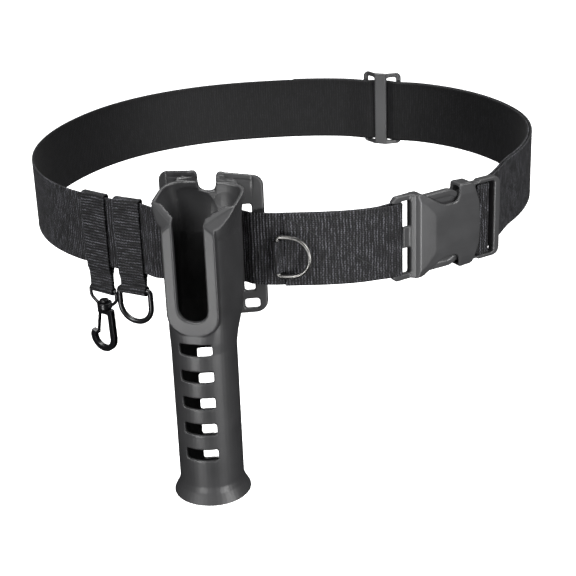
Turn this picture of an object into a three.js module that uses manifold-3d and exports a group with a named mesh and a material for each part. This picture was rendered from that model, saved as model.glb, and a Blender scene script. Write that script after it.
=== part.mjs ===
// A webbing waist belt that carries a moulded holder for a fishing rod.
// Units are millimetres and +Z is up. The origin is the middle of the waist, at half the webbing's width.
// The holder faces -Y. Each fitting is modelled in a frame of its own, where x runs along the belt to the
// right as seen from outside, -y points out of the belt, and z = 0 is the middle of the webbing.

import * as THREE from 'three';
import { mergeVertices } from 'three/addons/utils/BufferGeometryUtils.js';
import Module from 'manifold-3d';

const wasm = await Module();
wasm.setup();

// Clearance between two pieces that touch on the real belt
const GAP = 0.3;

// Belt loop and its webbing
const LOOP_WIDTH = 357;
const LOOP_DEPTH = 321;
const WEB_WIDTH = 50;
const WEB_THICKNESS = 1.8;
const SEWN_END_LENGTH = 73;
const SLIDER_TAIL_LENGTH = 76;
const EASE_LENGTH = 16;
const ENTRY_RUN = 1;
const STRAIGHT_MARGIN = 1.5;
const STRAP_EXIT_DEG = 27;
const STRAP_EXIT_LENGTH = 9;
const STRAP_BEND_START = 3;
const STRAP_BEND_RADIUS = 4;
const WRAP_CORNER = 2;

// Rod holder: plate behind, cup in front, tube below
const PLATE_HALF_WIDTH = 34.8;
const PLATE_THICKNESS = 2.8;
const PLATE_FLAT_HALF = 12;
const PLATE_SWEEP_DEG = 20;
const PLATE_TOP = 48;
const PLATE_LIP_RISE = 5;
const PLATE_BOTTOM = 46;
const PLATE_CORNER = 7;
const PLATE_SETOUT = 3.2;
const SIDE_BAR_WIDTH = 7.4;
const BELT_SLOT_WIDTH = 6.8;
const BELT_SLOT_MARGIN = 5;
const RUNG_HEIGHT = 6;
const FOOT_HOLE_WIDTH = 9.3;
const FOOT_HOLE_HEIGHT = 6.6;
const NOTCH_WIDTH = 12.4;
const NOTCH_DEPTH = 13.5;
const NOTCH_LEAN = 0.5;
const NOTCH_ROUND = 4.6;
const NOTCH_LIP = 2.6;
const CUP_FRONT = 49.2;
const CUP_BACK = 2.8;
const CUP_HALF_WIDTH = 25.4;
const CUP_TAPER = 6.4;
const CUP_BOTTOM = 41;
const MOUTH_FLARE = 2.4;
const MOUTH_SIDE_RISE = 8;
const MOUTH_BACK_RISE = 4;
const MOUTH_FRONT_TOP = 33.3;
const MOUTH_SHOULDER = 36.4;
const BEVEL_TURN_DEG = 29;
const BEVEL_RISE_DEG = 31;
const FRAME_FACE = 50.4;
const FRAME_HALF_WIDTH = 17.3;
const FRAME_DEPTH = 4.5;
const FRAME_FOOT = 9;
const FRAME_CORNER = 13;
const FRONT_SLOT_WIDTH = 20;
const FRONT_SLOT_BOTTOM = 32.4;
const FRONT_SLOT_CORNER = 9;
const HOLDER_WALL = 2.5;
const TUBE_RADIUS = 21.5;
const TUBE_AXIS = 30;
const TUBE_TOP = 55;
const TUBE_BOTTOM = 163;
const FLARE_HEIGHT = 11;
const FLARE_REACH = 4.6;
const WINDOW_WIDTH = 21.6;
const WINDOW_HEIGHT = 8.1;
const WINDOW_PITCH = 18.95;
const WINDOW_COUNT = 5;
const WINDOW_TOP = 47.6;
const REAR_WINDOW_DROP = 20.6;

// Side-release buckle
const BUCKLE_HEADING = 45;
const BUCKLE_HALF_HEIGHT = 29.5;
const SEWN_BAR_WIDTH = 5;
const SEWN_BAR_THICKNESS = 3;
const SOCKET_LENGTH = 63.5;
const SOCKET_END_REACH = 2;
const SOCKET_FRONT = 9.4;
const SOCKET_BACK = 3.6;
const SOCKET_WALL = 2.2;
const SOCKET_SLOT = 8.1;
const SOCKET_HOLLOW_START = 14;
const SOCKET_STOP_HALF = 7.4;
const SOCKET_STOP_THICKNESS = 2.4;
const SOCKET_CROWN = 2.6;
const CROWN_POWER = 2.6;
const PRONG_BAR_STANDOFF = 5;
const PRONG_BAR_WIDTH = 6.6;
const PRONG_BAR_THICKNESS = 3;
const PRONG_SLOT = 3.8;
const PRONG_WINDOW = 6;
const PRONG_END_BAR = 4.7;
const PRONG_FRAME_THICKNESS = 6;
const PRONG_FRAME_CORNER = 5;
const PRONG_PLATE_REACH = 9;
const PRONG_RAIL = 2.6;
const PRONG_ARM_WIDTH = 3.6;
const PRONG_ARM_THICKNESS = 4.8;
const PRONG_ARM_LENGTH = 33;
const PRONG_WEB_REACH = 10.5;
const PRONG_WEB_THICKNESS = 3.6;
const PRONG_TONGUE_WIDTH = 16;
const PRONG_TONGUE_LENGTH = 27;
const PRONG_TONGUE_THICKNESS = 3.6;

// Three-bar slider at the back
const SLIDER_WIDTH = 32;
const SLIDER_SIDE_BAR = 3.8;
const SLIDER_CENTRE_BAR = 10;
const SLIDER_THICKNESS = 2.4;
const SLIDER_RAIL = 3.4;
const SLIDER_JOGGLE = 2.4;
const SLIDER_HEADROOM = 3.4;
const SLIDER_CORNER = 4;

// Steel ring in front and its sewn tab
const RING_WIRE = 2.7;
const RING_HEIGHT = 27;
const RING_STRAIGHT = 7.5;
const RING_DROP = 3.6;
const RING_TILT_DEG = 11;
const RING_CORNER = 2.2;
const RING_BOW_SHARE = 0.98;
const TAB_HEIGHT = 22.5;
const TAB_THICKNESS = 1.1;
const TAB_REACH = 4.2;

// Hanging loops with a swivel hook and a plastic ring
const HANGER_WIDTH = 20;
const HANGER_STRAIGHT = 6.7;
const HANGER_THICKNESS = 1.4;
const HANGER_EASE = 0.8;
const HANGER_SIDE_PLAY = 0.35;
const HANGER_SHOULDER = 5;
const HANGER_BEND = 4;
const HANGER_ROUND = 0.86;
const HANGER_EYE_RISE = 1.35;
const HOOK_HANGER_LENGTH = 18.3;
const RING_HANGER_LENGTH = 13.4;
const EYE_WIRE = 2.4;
const EYE_HEIGHT = 12;
const EYE_SHOULDER = 5;
const EYE_CORNER = 1.6;
const COLLAR_RADIUS = 5.2;
const COLLAR_HEIGHT = 4.4;
const PIVOT_RADIUS = 1.9;
const PIVOT_ROOT = 0.8;
const PIVOT_HEAD_RADIUS = 3.1;
const PIVOT_HEAD_HEIGHT = 1.8;
const HOOK_WIRE = 4.1;
const HOOK_DEPTH = 3.8;
const HOOK_BOW_RADIUS = 9;
const HOOK_SPINE = 6;
const HOOK_SPINE_LEAN = 0.9;
const HOOK_SHANK_LENGTH = 18;
const HOOK_TIP_RISE = 3.5;
const HOOK_TIP_LEAN = 1.2;
const HOOK_HEAD_HEIGHT = 4;
const HOOK_HEAD_LEFT = 5.6;
const HOOK_HEAD_RIGHT = 7.3;
const GATE_THICKNESS = 1.2;
const GATE_DEPTH = 2.6;
const GATE_ROOT = 4.6;
const GATE_END_RISE = 1.4;
const LOOP_RING_WIRE = 3.8;
const LOOP_RING_STRAIGHT = 11.4;
const LOOP_RING_CORNER = 2.4;

// Corner radius of small openings, and that of a bar as a share of its thickness
const HOLE_CORNER = 1.5;
const BAR_ROUND = 0.42;

// Numbers of flat facets on round shapes
const ROUND_FACETS = 48;
const WIRE_FACETS = 10;
const CORNER_FACETS = 4;
const ARC_FACETS = 12;

// Steps along the belt, in its curves and through the slots of a fitting
const ROUTE_STEP = 8;
const FINE_STEP = 1.7;

// A cut that goes right through runs this far to either side
const THROUGH = 400;

// Smallest cosine at a ribbon's bend that still widens it
const MITRE_LIMIT = 0.7;

// Sizes that follow from those above
const LAYER_PITCH = WEB_THICKNESS + GAP;
const WEB_HALF = WEB_WIDTH / 2;
const WEB_ROOM = WEB_HALF + 2 * GAP;
const SLOT_OUTER = PLATE_HALF_WIDTH - SIDE_BAR_WIDTH;
const SLOT_INNER = SLOT_OUTER - BELT_SLOT_WIDTH;
const SLOT_HALF_HEIGHT = WEB_HALF + BELT_SLOT_MARGIN;
const SWEEP = Math.tan(THREE.MathUtils.degToRad(PLATE_SWEEP_DEG));
const PRONG_BAR_X = SOCKET_LENGTH + PRONG_BAR_STANDOFF;
const PRONG_BAR_OUT = (SOCKET_FRONT - SOCKET_BACK) / 2;
const SOCKET_START = SEWN_BAR_WIDTH / 2 + SOCKET_SLOT;
const FOLD_RADIUS = SEWN_BAR_THICKNESS / 2 + GAP + WEB_THICKNESS / 2;
const SEWN_BAR_OUT = LAYER_PITCH / 2;
const FOLD_END = SEWN_BAR_WIDTH / 2 - SEWN_BAR_THICKNESS / 2 + FOLD_RADIUS + WEB_THICKNESS / 2;
const SLIDER_OUT = LAYER_PITCH / 2;
const EYE_HALF_WIDTH = HANGER_WIDTH / 2 + HANGER_SIDE_PLAY + EYE_WIRE / 2;
const LOOP_RING_HALF_WIDTH = HANGER_WIDTH / 2 + HANGER_SIDE_PLAY + LOOP_RING_WIRE / 2;
const HANGER_PITCH = EYE_HALF_WIDTH + EYE_WIRE / 2 + GAP + LOOP_RING_WIRE / 2 + LOOP_RING_HALF_WIDTH;

// Where the belt runs, anticlockwise from above: places are shares of the loop's width and depth,
// apart from that of the hook's hanger, which follows from the ring's hanger
const ROUTE = [
  { place: 'right', x: 0.502, y: -0.074, heading: 71.5 },
  { place: 'right_back', x: 0.481, y: 0.28, heading: 120.2 },
  { place: 'slider', x: 0.159, y: 0.495, heading: 173.2 },
  { place: 'back_left', x: -0.153, y: 0.45, heading: 200.3 },
  { place: 'left', x: -0.439, y: 0.149, heading: 249.2 },
  { place: 'left_front', x: -0.396, y: -0.318, heading: 307.3 },
  { place: 'hook_hanger', heading: 338.2 },
  { place: 'ring_hanger', x: -0.166, y: -0.471, heading: 346.6 },
  { place: 'holder', x: 0, y: -0.499, heading: 360 },
  { place: 'steel_ring', x: 0.15, y: -0.49, heading: 371.2 },
];
const SOCKET_PLACE = { x: 0.324, y: -0.409 };

const colour = {
  webbing: 0x1c1c1e,
  hanger: 0x19191b,
  holder: 0x3a3b3d,
  buckle: 0x303133,
  slider: 0x3c3d40,
  steel: 0x8b8b88,
  hook: 0x1d1d1f,
};

function material(hex, roughness, metalness) {
  return new THREE.MeshStandardMaterial({ color: hex, roughness, metalness });
}

const materials = {
  webbing: material(colour.webbing, 0.85, 0),
  hanger: material(colour.hanger, 0.85, 0),
  holder: material(colour.holder, 0.45, 0),
  buckle: material(colour.buckle, 0.35, 0),
  slider: material(colour.slider, 0.4, 0),
  steel: material(colour.steel, 0.3, 1),
  hook: material(colour.hook, 0.35, 0),
};

// A closed geometry as a solid that can be joined and cut
function solid(geometry) {
  const bare = geometry.index ? geometry.toNonIndexed() : geometry.clone();
  bare.deleteAttribute('normal');
  bare.deleteAttribute('uv');
  const merged = mergeVertices(bare, 1e-4);
  const vertProperties = new Float32Array(merged.attributes.position.array);
  const triVerts = new Uint32Array(merged.index.array);
  return new wasm.Manifold(new wasm.Mesh({ numProp: 3, vertProperties, triVerts }));
}

function geometryOf(manifold) {
  const mesh = manifold.getMesh();
  const geometry = new THREE.BufferGeometry();
  geometry.setAttribute('position', new THREE.BufferAttribute(new Float32Array(mesh.vertProperties), 3));
  geometry.setIndex(new THREE.BufferAttribute(new Uint32Array(mesh.triVerts), 1));
  geometry.computeVertexNormals();
  return geometry;
}

function extrude(shape, depth) {
  return new THREE.ExtrudeGeometry(shape, { depth, bevelEnabled: false, curveSegments: 2 * CORNER_FACETS });
}

// A plan outline (x, y) raised from low to high
function planPrism(shape, low, high) {
  return solid(extrude(shape, high - low).translate(0, 0, low));
}

// A front outline (x, z) carried outwards, from near the belt to far in front of it
function frontPrism(shape, near, far) {
  return solid(extrude(shape, far - near).rotateX(Math.PI / 2).translate(0, -near, 0));
}

// A side outline (outward, z) carried along the belt, half the width to either side of x
function sidePrism(shape, x, width) {
  const turn = new THREE.Matrix4().makeBasis(
    new THREE.Vector3(0, -1, 0),
    new THREE.Vector3(0, 0, 1),
    new THREE.Vector3(-1, 0, 0),
  );
  return solid(extrude(shape, width).applyMatrix4(turn).translate(x + width / 2, 0, 0));
}

function point(x, y) {
  return new THREE.Vector2(x, y);
}

function direction(degrees) {
  const angle = THREE.MathUtils.degToRad(degrees);
  return point(Math.cos(angle), Math.sin(angle));
}

// The way out of the belt, to the right of the way it runs
function outward(way) {
  return point(way.y, -way.x);
}

function polygon(points) {
  return new THREE.Shape(points);
}

// Points of an arc about a middle point, from one angle in degrees to another
function arc(middle, radius, from, to) {
  const points = [];
  for (let k = 0; k <= ARC_FACETS; k += 1) {
    const angle = from + ((to - from) * k) / ARC_FACETS;
    points.push(direction(angle).multiplyScalar(radius).add(middle));
  }
  return points;
}

function roundHole(middle, radius) {
  return new THREE.Path(arc(middle, radius, 0, 360).slice(1));
}

// A polygon whose corners are arcs: each corner is [x, y, radius]
function roundedPoints(corners, closed) {
  const out = [];
  const count = corners.length;
  for (let i = 0; i < count; i += 1) {
    const here = point(corners[i][0], corners[i][1]);
    const radius = corners[i][2] || 0;
    const open = !closed && (i === 0 || i === count - 1);
    if (open || radius === 0) {
      out.push(here);
      continue;
    }
    const before = corners[(i + count - 1) % count];
    const after = corners[(i + 1) % count];
    const back = point(before[0], before[1]).sub(here).normalize();
    const on = point(after[0], after[1]).sub(here).normalize();
    const half = Math.acos(THREE.MathUtils.clamp(back.dot(on), -1, 1)) / 2;
    const reach = radius / Math.tan(half);
    const start = here.clone().addScaledVector(back, reach);
    const end = here.clone().addScaledVector(on, reach);
    const middle = back.clone().add(on).normalize();
    const centre = here.clone().addScaledVector(middle, radius / Math.sin(half));
    const a = Math.atan2(start.y - centre.y, start.x - centre.x);
    const sweep = Math.atan2(end.y - centre.y, end.x - centre.x) - a;
    const turn = sweep - 2 * Math.PI * Math.round(sweep / (2 * Math.PI));
    for (let k = 0; k <= CORNER_FACETS; k += 1) {
      const angle = a + (turn * k) / CORNER_FACETS;
      out.push(point(centre.x + radius * Math.cos(angle), centre.y + radius * Math.sin(angle)));
    }
  }
  return out;
}

function roundedShape(corners) {
  return polygon(roundedPoints(corners, true));
}

function roundedBox(left, right, low, high, radius) {
  return roundedShape([
    [left, low, radius],
    [right, low, radius],
    [right, high, radius],
    [left, high, radius],
  ]);
}

// The ways that a line of points runs, taken at each point
function waysOf(line) {
  return line.map((here, i) => {
    const before = line[Math.max(i - 1, 0)];
    const after = line[Math.min(i + 1, line.length - 1)];
    return after.clone().sub(before).normalize();
  });
}

// A line moved sideways, by a number or by a function of the point; out is positive
function shifted(line, shift) {
  const ways = waysOf(line);
  return line.map((here, i) => {
    const by = typeof shift === 'function' ? shift(here) : shift;
    return here.clone().addScaledVector(outward(ways[i]), by);
  });
}

// A band of even thickness along a line
function ribbonShape(line, thickness) {
  const ways = waysOf(line);
  const side = (sign) => line.map((here, i) => {
    const before = line[Math.max(i - 1, 0)];
    const way = here.clone().sub(before);
    const ahead = i > 0 ? way.normalize() : ways[i];
    const mitre = Math.max(Math.abs(ahead.dot(ways[i])), MITRE_LIMIT);
    return here.clone().addScaledVector(outward(ways[i]), (sign * thickness) / 2 / mitre);
  });
  return polygon([...side(1), ...side(-1).reverse()]);
}

function smooth(value, from, to) {
  return THREE.MathUtils.smoothstep(value, from, to);
}

// A fitting's own frame in the belt's plan
function frameAt(place) {
  return {
    origin: point(place.x * LOOP_WIDTH, place.y * LOOP_DEPTH),
    heading: place.heading,
  };
}

function inPlan(frame, along, out) {
  const way = direction(frame.heading);
  return frame.origin.clone().addScaledVector(way, along).addScaledVector(outward(way), out);
}

function alongFrame(frame, where) {
  return where.clone().sub(frame.origin).dot(direction(frame.heading));
}

function placed(frame, pieces) {
  const group = new THREE.Group();
  group.position.set(frame.origin.x, frame.origin.y, 0);
  group.rotation.z = THREE.MathUtils.degToRad(frame.heading);
  group.add(...pieces);
  return group;
}

function piece(name, manifold, finish) {
  const mesh = new THREE.Mesh(geometryOf(manifold), finish);
  mesh.name = name;
  return mesh;
}

const stations = Object.fromEntries(ROUTE.map((row) => [row.place, frameAt(row)]));
Object.assign(stations.holder, { straight: PLATE_HALF_WIDTH + STRAIGHT_MARGIN, step: FINE_STEP });
Object.assign(stations.slider, { straight: SLIDER_WIDTH / 2 + STRAIGHT_MARGIN, step: FINE_STEP });
Object.assign(stations.hook_hanger, { straight: HANGER_STRAIGHT, step: ROUTE_STEP });
Object.assign(stations.ring_hanger, { straight: HANGER_STRAIGHT, step: ROUTE_STEP });
const buckleFrame = { ...frameAt(SOCKET_PLACE), heading: 360 + BUCKLE_HEADING };

// The hook's hanger stands beside the ring's, far enough for the eye and the ring to clear each other
const betweenHangers = (stations.hook_hanger.heading + stations.ring_hanger.heading) / 2;
stations.hook_hanger.origin = inPlan({ ...stations.ring_hanger, heading: betweenHangers }, -HANGER_PITCH, 0);

// Belt webbing: one strap, with its route, its folds and its layers

// One smooth stretch of belt between two frames, outside their straight runs
function stretch(from, to) {
  const start = inPlan(from, from.straight || 0, 0);
  const end = inPlan(to, -(to.straight || 0), 0);
  const chord = start.distanceTo(end);
  const turn = Math.abs(to.heading - from.heading);
  const handle = chord / (3 * Math.cos(THREE.MathUtils.degToRad(turn / 4)) ** 2);
  const curve = new THREE.CubicBezierCurve(
    start,
    start.clone().addScaledVector(direction(from.heading), handle),
    end.clone().addScaledVector(direction(to.heading), -handle),
    end,
  );
  return curve.getPoints(Math.max(4, Math.ceil(chord / ROUTE_STEP)));
}

function straightRun(frame) {
  const count = Math.ceil((2 * frame.straight) / frame.step);
  const points = [];
  for (let k = 1; k < count; k += 1) {
    points.push(inPlan(frame, frame.straight * ((2 * k) / count - 1), 0));
  }
  return points;
}

// Behind the holder's plate, and in front of its side bars
function holderShift(where) {
  const x = Math.abs(alongFrame(stations.holder, where));
  const backAt = (s) => PLATE_SETOUT - Math.max(s - PLATE_FLAT_HALF, 0) * SWEEP;
  const lean = PLATE_THICKNESS / 2 / Math.cos(THREE.MathUtils.degToRad(PLATE_SWEEP_DEG));
  const clear = lean + GAP + WEB_THICKNESS / 2;
  const behind = backAt(SLOT_INNER) - clear;
  const before = backAt(SLOT_OUTER) + clear;
  const through = behind + (before - behind) * smooth(x, SLOT_INNER - GAP, SLOT_OUTER + GAP);
  return through * (1 - smooth(x, PLATE_HALF_WIDTH, PLATE_HALF_WIDTH + EASE_LENGTH));
}

// Inside the slider's side bars, and outside its centre bar
function sliderShift(where) {
  const x = Math.abs(alongFrame(stations.slider, where));
  const inner = SLIDER_CENTRE_BAR / 2;
  const outer = SLIDER_WIDTH / 2 - SLIDER_SIDE_BAR;
  const over = SLIDER_OUT - SLIDER_JOGGLE + SLIDER_THICKNESS / 2 + GAP + WEB_THICKNESS / 2;
  const under = SLIDER_OUT + SLIDER_JOGGLE - SLIDER_THICKNESS / 2 - GAP - WEB_THICKNESS / 2 - LAYER_PITCH;
  const through = over + (under - over) * smooth(x, inner, outer);
  return through * (1 - smooth(x, SLIDER_WIDTH / 2, SLIDER_WIDTH / 2 + EASE_LENGTH));
}

function beltShift(where) {
  return where.y > 0 ? sliderShift(where) : holderShift(where);
}

// The strap's path round the bar of the prong frame, in the buckle's frame: [along, out, radius]
function prongWrap() {
  const reach = PRONG_BAR_WIDTH / 2 + GAP + WEB_THICKNESS / 2;
  const left = PRONG_BAR_X - reach;
  const right = PRONG_BAR_X + reach;
  const top = PRONG_BAR_OUT + PRONG_BAR_THICKNESS / 2 + GAP + WEB_THICKNESS / 2;
  const outer = PRONG_BAR_OUT - PRONG_FRAME_THICKNESS / 2 - GAP - WEB_THICKNESS / 2;
  const inner = outer - LAYER_PITCH;
  const turn = THREE.MathUtils.degToRad(STRAP_EXIT_DEG);
  const bendOuter = right + STRAP_BEND_START;
  const bendInner = bendOuter - LAYER_PITCH * Math.tan(turn / 2);
  const exit = (bend, out) => [
    bend + STRAP_EXIT_LENGTH * Math.cos(turn),
    out - STRAP_EXIT_LENGTH * Math.sin(turn),
  ];
  return [
    exit(bendOuter, outer),
    [bendOuter, outer, STRAP_BEND_RADIUS],
    [right, outer, WRAP_CORNER],
    [right, top, WRAP_CORNER],
    [left, top, WRAP_CORNER],
    [left, inner, WRAP_CORNER],
    [bendInner, inner, STRAP_BEND_RADIUS],
    exit(bendInner, inner),
  ];
}

function inBuckle(points) {
  return points.map((at) => inPlan(buckleFrame, at.x, at.y));
}

// The turn round the socket's sewn bar, back to the left on the outside
function socketTurn() {
  const middle = point(SEWN_BAR_WIDTH / 2 - SEWN_BAR_THICKNESS / 2, SEWN_BAR_OUT);
  return inBuckle(arc(middle, FOLD_RADIUS, -90, 90));
}

function cutToLength(line, length) {
  const out = [line[0]];
  let run = 0;
  for (let i = 1; i < line.length; i += 1) {
    const step = line[i].distanceTo(line[i - 1]);
    if (run + step >= length) {
      out.push(line[i - 1].clone().lerp(line[i], (length - run) / step));
      break;
    }
    run += step;
    out.push(line[i]);
  }
  return out;
}

function joined(lines) {
  return lines.flatMap((line, i) => (i === 0 ? line : line.slice(1)));
}

// The stretches between neighbouring frames of the route, and the straight runs at them
function routeThrough(frames) {
  const lines = [];
  frames.slice(1).forEach((to, i) => {
    lines.push(stretch(frames[i], to));
    if (to.straight) {
      const last = lines[lines.length - 1];
      lines.push([last[last.length - 1], ...straightRun(to), inPlan(to, to.straight, 0)]);
    }
  });
  return joined(lines);
}

// Layers part near the bar that they fold round: a shift from flat to the fold's radius
function foldShift(sign) {
  const from = sign > 0 ? LAYER_PITCH : 0;
  const to = SEWN_BAR_OUT + sign * FOLD_RADIUS;
  return (where) => {
    const x = alongFrame(buckleFrame, where);
    return from + (to - from) * smooth(x, -EASE_LENGTH, -ENTRY_RUN);
  };
}

function webbingLine() {
  const wrap = inBuckle(roundedPoints(prongWrap(), false));
  const exit = { origin: wrap[wrap.length - 1], heading: BUCKLE_HEADING + STRAP_EXIT_DEG };
  const route = routeThrough([exit, ...ROUTE.map((row) => stations[row.place])]);
  const entry = { origin: inPlan(buckleFrame, -ENTRY_RUN, 0), heading: buckleFrame.heading };
  const last = stretch(stations.steel_ring, entry);

  const main = joined([shifted(route, beltShift), shifted(last, foldShift(-1))]);

  const outerRoute = shifted(route, (where) => beltShift(where) + LAYER_PITCH);
  const sliderAt = outerRoute.reduce((best, at, i) => {
    const far = Math.abs(alongFrame(stations.slider, at)) + at.distanceTo(stations.slider.origin);
    return far < best.far ? { far, i } : best;
  }, { far: Infinity, i: 0 }).i;
  const lengthTo = outerRoute.slice(1, sliderAt + 1)
    .reduce((sum, at, i) => sum + at.distanceTo(outerRoute[i]), 0);
  const second = cutToLength(outerRoute, lengthTo + SLIDER_TAIL_LENGTH);

  const back = [...last].reverse().concat([...route].reverse().slice(1));
  const sewn = cutToLength(back, SEWN_END_LENGTH).reverse();
  const sewnLine = shifted(sewn, foldShift(1)).reverse();

  return [
    ...second.reverse(),
    ...wrap.slice(1, -1),
    ...main,
    ...socketTurn().slice(1, -1),
    ...sewnLine,
  ];
}

function beltWebbing(line) {
  const shape = ribbonShape(line, WEB_THICKNESS);
  return piece('belt_webbing', planPrism(shape, -WEB_HALF, WEB_HALF), materials.webbing);
}

// Rod holder

// Sections of the cup and tube from the top down. form runs from 0 for the cup to 1 for the round tube,
// flare is a share of the mouth's or the tube's flare, lean is a share of the sides' lean towards the front,
// and square is the power that rounds a ring's corners
const HOLDER_SECTIONS = [
  { z: PLATE_TOP, form: 0, flare: 1.2, lean: 0, square: 4.4 },
  { z: 0.88 * PLATE_TOP, form: 0, flare: 1, lean: 0, square: 4.4 },
  { z: MOUTH_FRONT_TOP, form: 0, flare: 0.4, lean: 0.5, square: 4.6 },
  { z: 0.66 * MOUTH_FRONT_TOP, form: 0, flare: 0, lean: 0.96, square: 4.8 },
  { z: 0.3 * MOUTH_FRONT_TOP, form: 0, flare: 0, lean: 1, square: 5 },
  { z: -0.6 * CUP_BOTTOM, form: 0, flare: 0, lean: 1, square: 4.4 },
  { z: -0.85 * CUP_BOTTOM, form: 0.12, flare: 0, lean: 1, square: 3.6 },
  { z: -CUP_BOTTOM, form: 0.42, flare: 0, lean: 1, square: 3 },
  { z: -0.5 * (CUP_BOTTOM + TUBE_TOP), form: 0.78, flare: 0, lean: 1, square: 2.4 },
  { z: -TUBE_TOP, form: 1, flare: 0, lean: 0, square: 2 },
  { z: -(TUBE_BOTTOM - FLARE_HEIGHT), form: 1, flare: 0, lean: 0, square: 2 },
  { z: -(TUBE_BOTTOM - 0.65 * FLARE_HEIGHT), form: 1, flare: 0.2, lean: 0, square: 2 },
  { z: -(TUBE_BOTTOM - 0.3 * FLARE_HEIGHT), form: 1, flare: 0.62, lean: 0, square: 2 },
  { z: -TUBE_BOTTOM, form: 1, flare: 1, lean: 0, square: 2 },
];

// One ring of points: a rounded square with its sides leaning in towards the front
function holderRing(row, inset) {
  const mix = (cup, tube) => THREE.MathUtils.lerp(cup, tube, row.form);
  const reach = row.form < 1 ? row.flare * MOUTH_FLARE : row.flare * FLARE_REACH;
  const front = mix(CUP_FRONT, TUBE_AXIS + TUBE_RADIUS) + reach;
  const back = mix(CUP_BACK, TUBE_AXIS - TUBE_RADIUS) - (row.form < 1 ? 0 : reach);
  const half = mix(CUP_HALF_WIDTH, TUBE_RADIUS) + reach - inset;
  const taper = row.lean * mix(CUP_TAPER, 0);
  const centre = (front + back) / 2;
  const depth = (front - back) / 2 - inset;
  const power = 2 / row.square;
  const ring = [];
  for (let k = 0; k < ROUND_FACETS; k += 1) {
    const angle = (2 * Math.PI * k) / ROUND_FACETS;
    const c = Math.cos(angle);
    const s = Math.sin(angle);
    const out = Math.sign(s) * Math.abs(s) ** power;
    const across = Math.sign(c) * Math.abs(c) ** power * (half - (taper / 2) * (1 + out));
    ring.push(new THREE.Vector3(across, -(centre + depth * out), row.z));
  }
  return ring;
}

// A closed body through rings of the same number of points, from the top down
function loft(rings) {
  const positions = [];
  const put = (...corners) => corners.forEach((at) => positions.push(at.x, at.y, at.z));
  const count = rings[0].length;
  for (let r = 0; r + 1 < rings.length; r += 1) {
    for (let k = 0; k < count; k += 1) {
      const next = (k + 1) % count;
      put(rings[r][k], rings[r + 1][next], rings[r + 1][k]);
      put(rings[r][k], rings[r][next], rings[r + 1][next]);
    }
  }
  const cap = (ring, up) => {
    const middle = ring.reduce((sum, at) => sum.add(at), new THREE.Vector3()).divideScalar(count);
    for (let k = 0; k < count; k += 1) {
      const next = (k + 1) % count;
      if (up) {
        put(middle, ring[next], ring[k]);
      } else {
        put(middle, ring[k], ring[next]);
      }
    }
  };
  cap(rings[0], true);
  cap(rings[rings.length - 1], false);
  const geometry = new THREE.BufferGeometry();
  geometry.setAttribute('position', new THREE.Float32BufferAttribute(positions, 3));
  return solid(geometry);
}

// The outer body, or with an inset the hollow inside it, which runs out past both of its ends
function holderBody(inset) {
  const rows = HOLDER_SECTIONS.map((row) => ({ ...row }));
  rows[0].z += inset;
  rows[rows.length - 1].z -= inset;
  return loft(rows.map((row) => holderRing(row, inset)));
}

// All that lies before the slanting faces at the mouth's front corners. Each face starts at a corner of the
// front slot and turns back to its side and up. An inset moves both faces inwards
function bevelCuts(inset) {
  const turn = THREE.MathUtils.degToRad(BEVEL_TURN_DEG);
  const rise = THREE.MathUtils.degToRad(BEVEL_RISE_DEG);
  const faces = [-1, 1].map((side) => {
    const across = side * Math.cos(rise) * Math.sin(turn);
    const normal = new THREE.Vector3(across, -Math.cos(rise) * Math.cos(turn), Math.sin(rise));
    const at = new THREE.Vector3((side * FRONT_SLOT_WIDTH) / 2, -FRAME_FACE, MOUTH_FRONT_TOP);
    at.addScaledVector(normal, THROUGH / 2 - inset);
    const box = new THREE.BoxGeometry(THROUGH, THROUGH, THROUGH);
    const lean = new THREE.Quaternion().setFromUnitVectors(new THREE.Vector3(0, 0, 1), normal);
    return solid(box.applyQuaternion(lean).translate(at.x, at.y, at.z));
  });
  return faces[0].add(faces[1]);
}

// The notch's lip is the plate's highest edge
const LIP_TOP = PLATE_TOP + PLATE_LIP_RISE;
const NOTCH_BOTTOM = LIP_TOP - NOTCH_DEPTH;

// The plate: swept back at both sides, cut to its outline with its slots, foot holes and notch
function holderPlate() {
  const edge = PLATE_HALF_WIDTH;
  const drop = (edge - PLATE_FLAT_HALF) * SWEEP;
  const half = PLATE_THICKNESS / 2;
  const lean = half / Math.cos(THREE.MathUtils.degToRad(PLATE_SWEEP_DEG));
  const line = (out) => [
    point(-edge, -(out - drop)),
    point(-PLATE_FLAT_HALF, -out),
    point(PLATE_FLAT_HALF, -out),
    point(edge, -(out - drop)),
  ];
  const strip = polygon([...line(PLATE_SETOUT + lean), ...line(PLATE_SETOUT - lean).reverse()]);
  const swept = planPrism(strip, -THROUGH, THROUGH);

  const lip = NOTCH_WIDTH / 2;
  const outline = roundedShape([
    [-edge, -PLATE_BOTTOM, PLATE_CORNER],
    [edge, -PLATE_BOTTOM, PLATE_CORNER],
    [edge, PLATE_TOP, PLATE_CORNER],
    [lip + NOTCH_LEAN, LIP_TOP, NOTCH_LIP],
    [lip - NOTCH_LEAN, NOTCH_BOTTOM, NOTCH_ROUND],
    [-lip + NOTCH_LEAN, NOTCH_BOTTOM, NOTCH_ROUND],
    [-lip - NOTCH_LEAN, LIP_TOP, NOTCH_LIP],
    [-edge, PLATE_TOP, PLATE_CORNER],
  ]);
  const footTop = -SLOT_HALF_HEIGHT - RUNG_HEIGHT;
  [-1, 1].forEach((side) => {
    const opening = (width, low, high) => {
      const ends = [side * SLOT_INNER, side * (SLOT_INNER + width)].sort((a, b) => a - b);
      outline.holes.push(roundedBox(...ends, low, high, HOLE_CORNER));
    };
    opening(BELT_SLOT_WIDTH, -SLOT_HALF_HEIGHT, SLOT_HALF_HEIGHT);
    opening(FOOT_HOLE_WIDTH, footTop - FOOT_HOLE_HEIGHT, footTop);
  });
  return swept.intersect(frontPrism(outline, -THROUGH, THROUGH));
}

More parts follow.
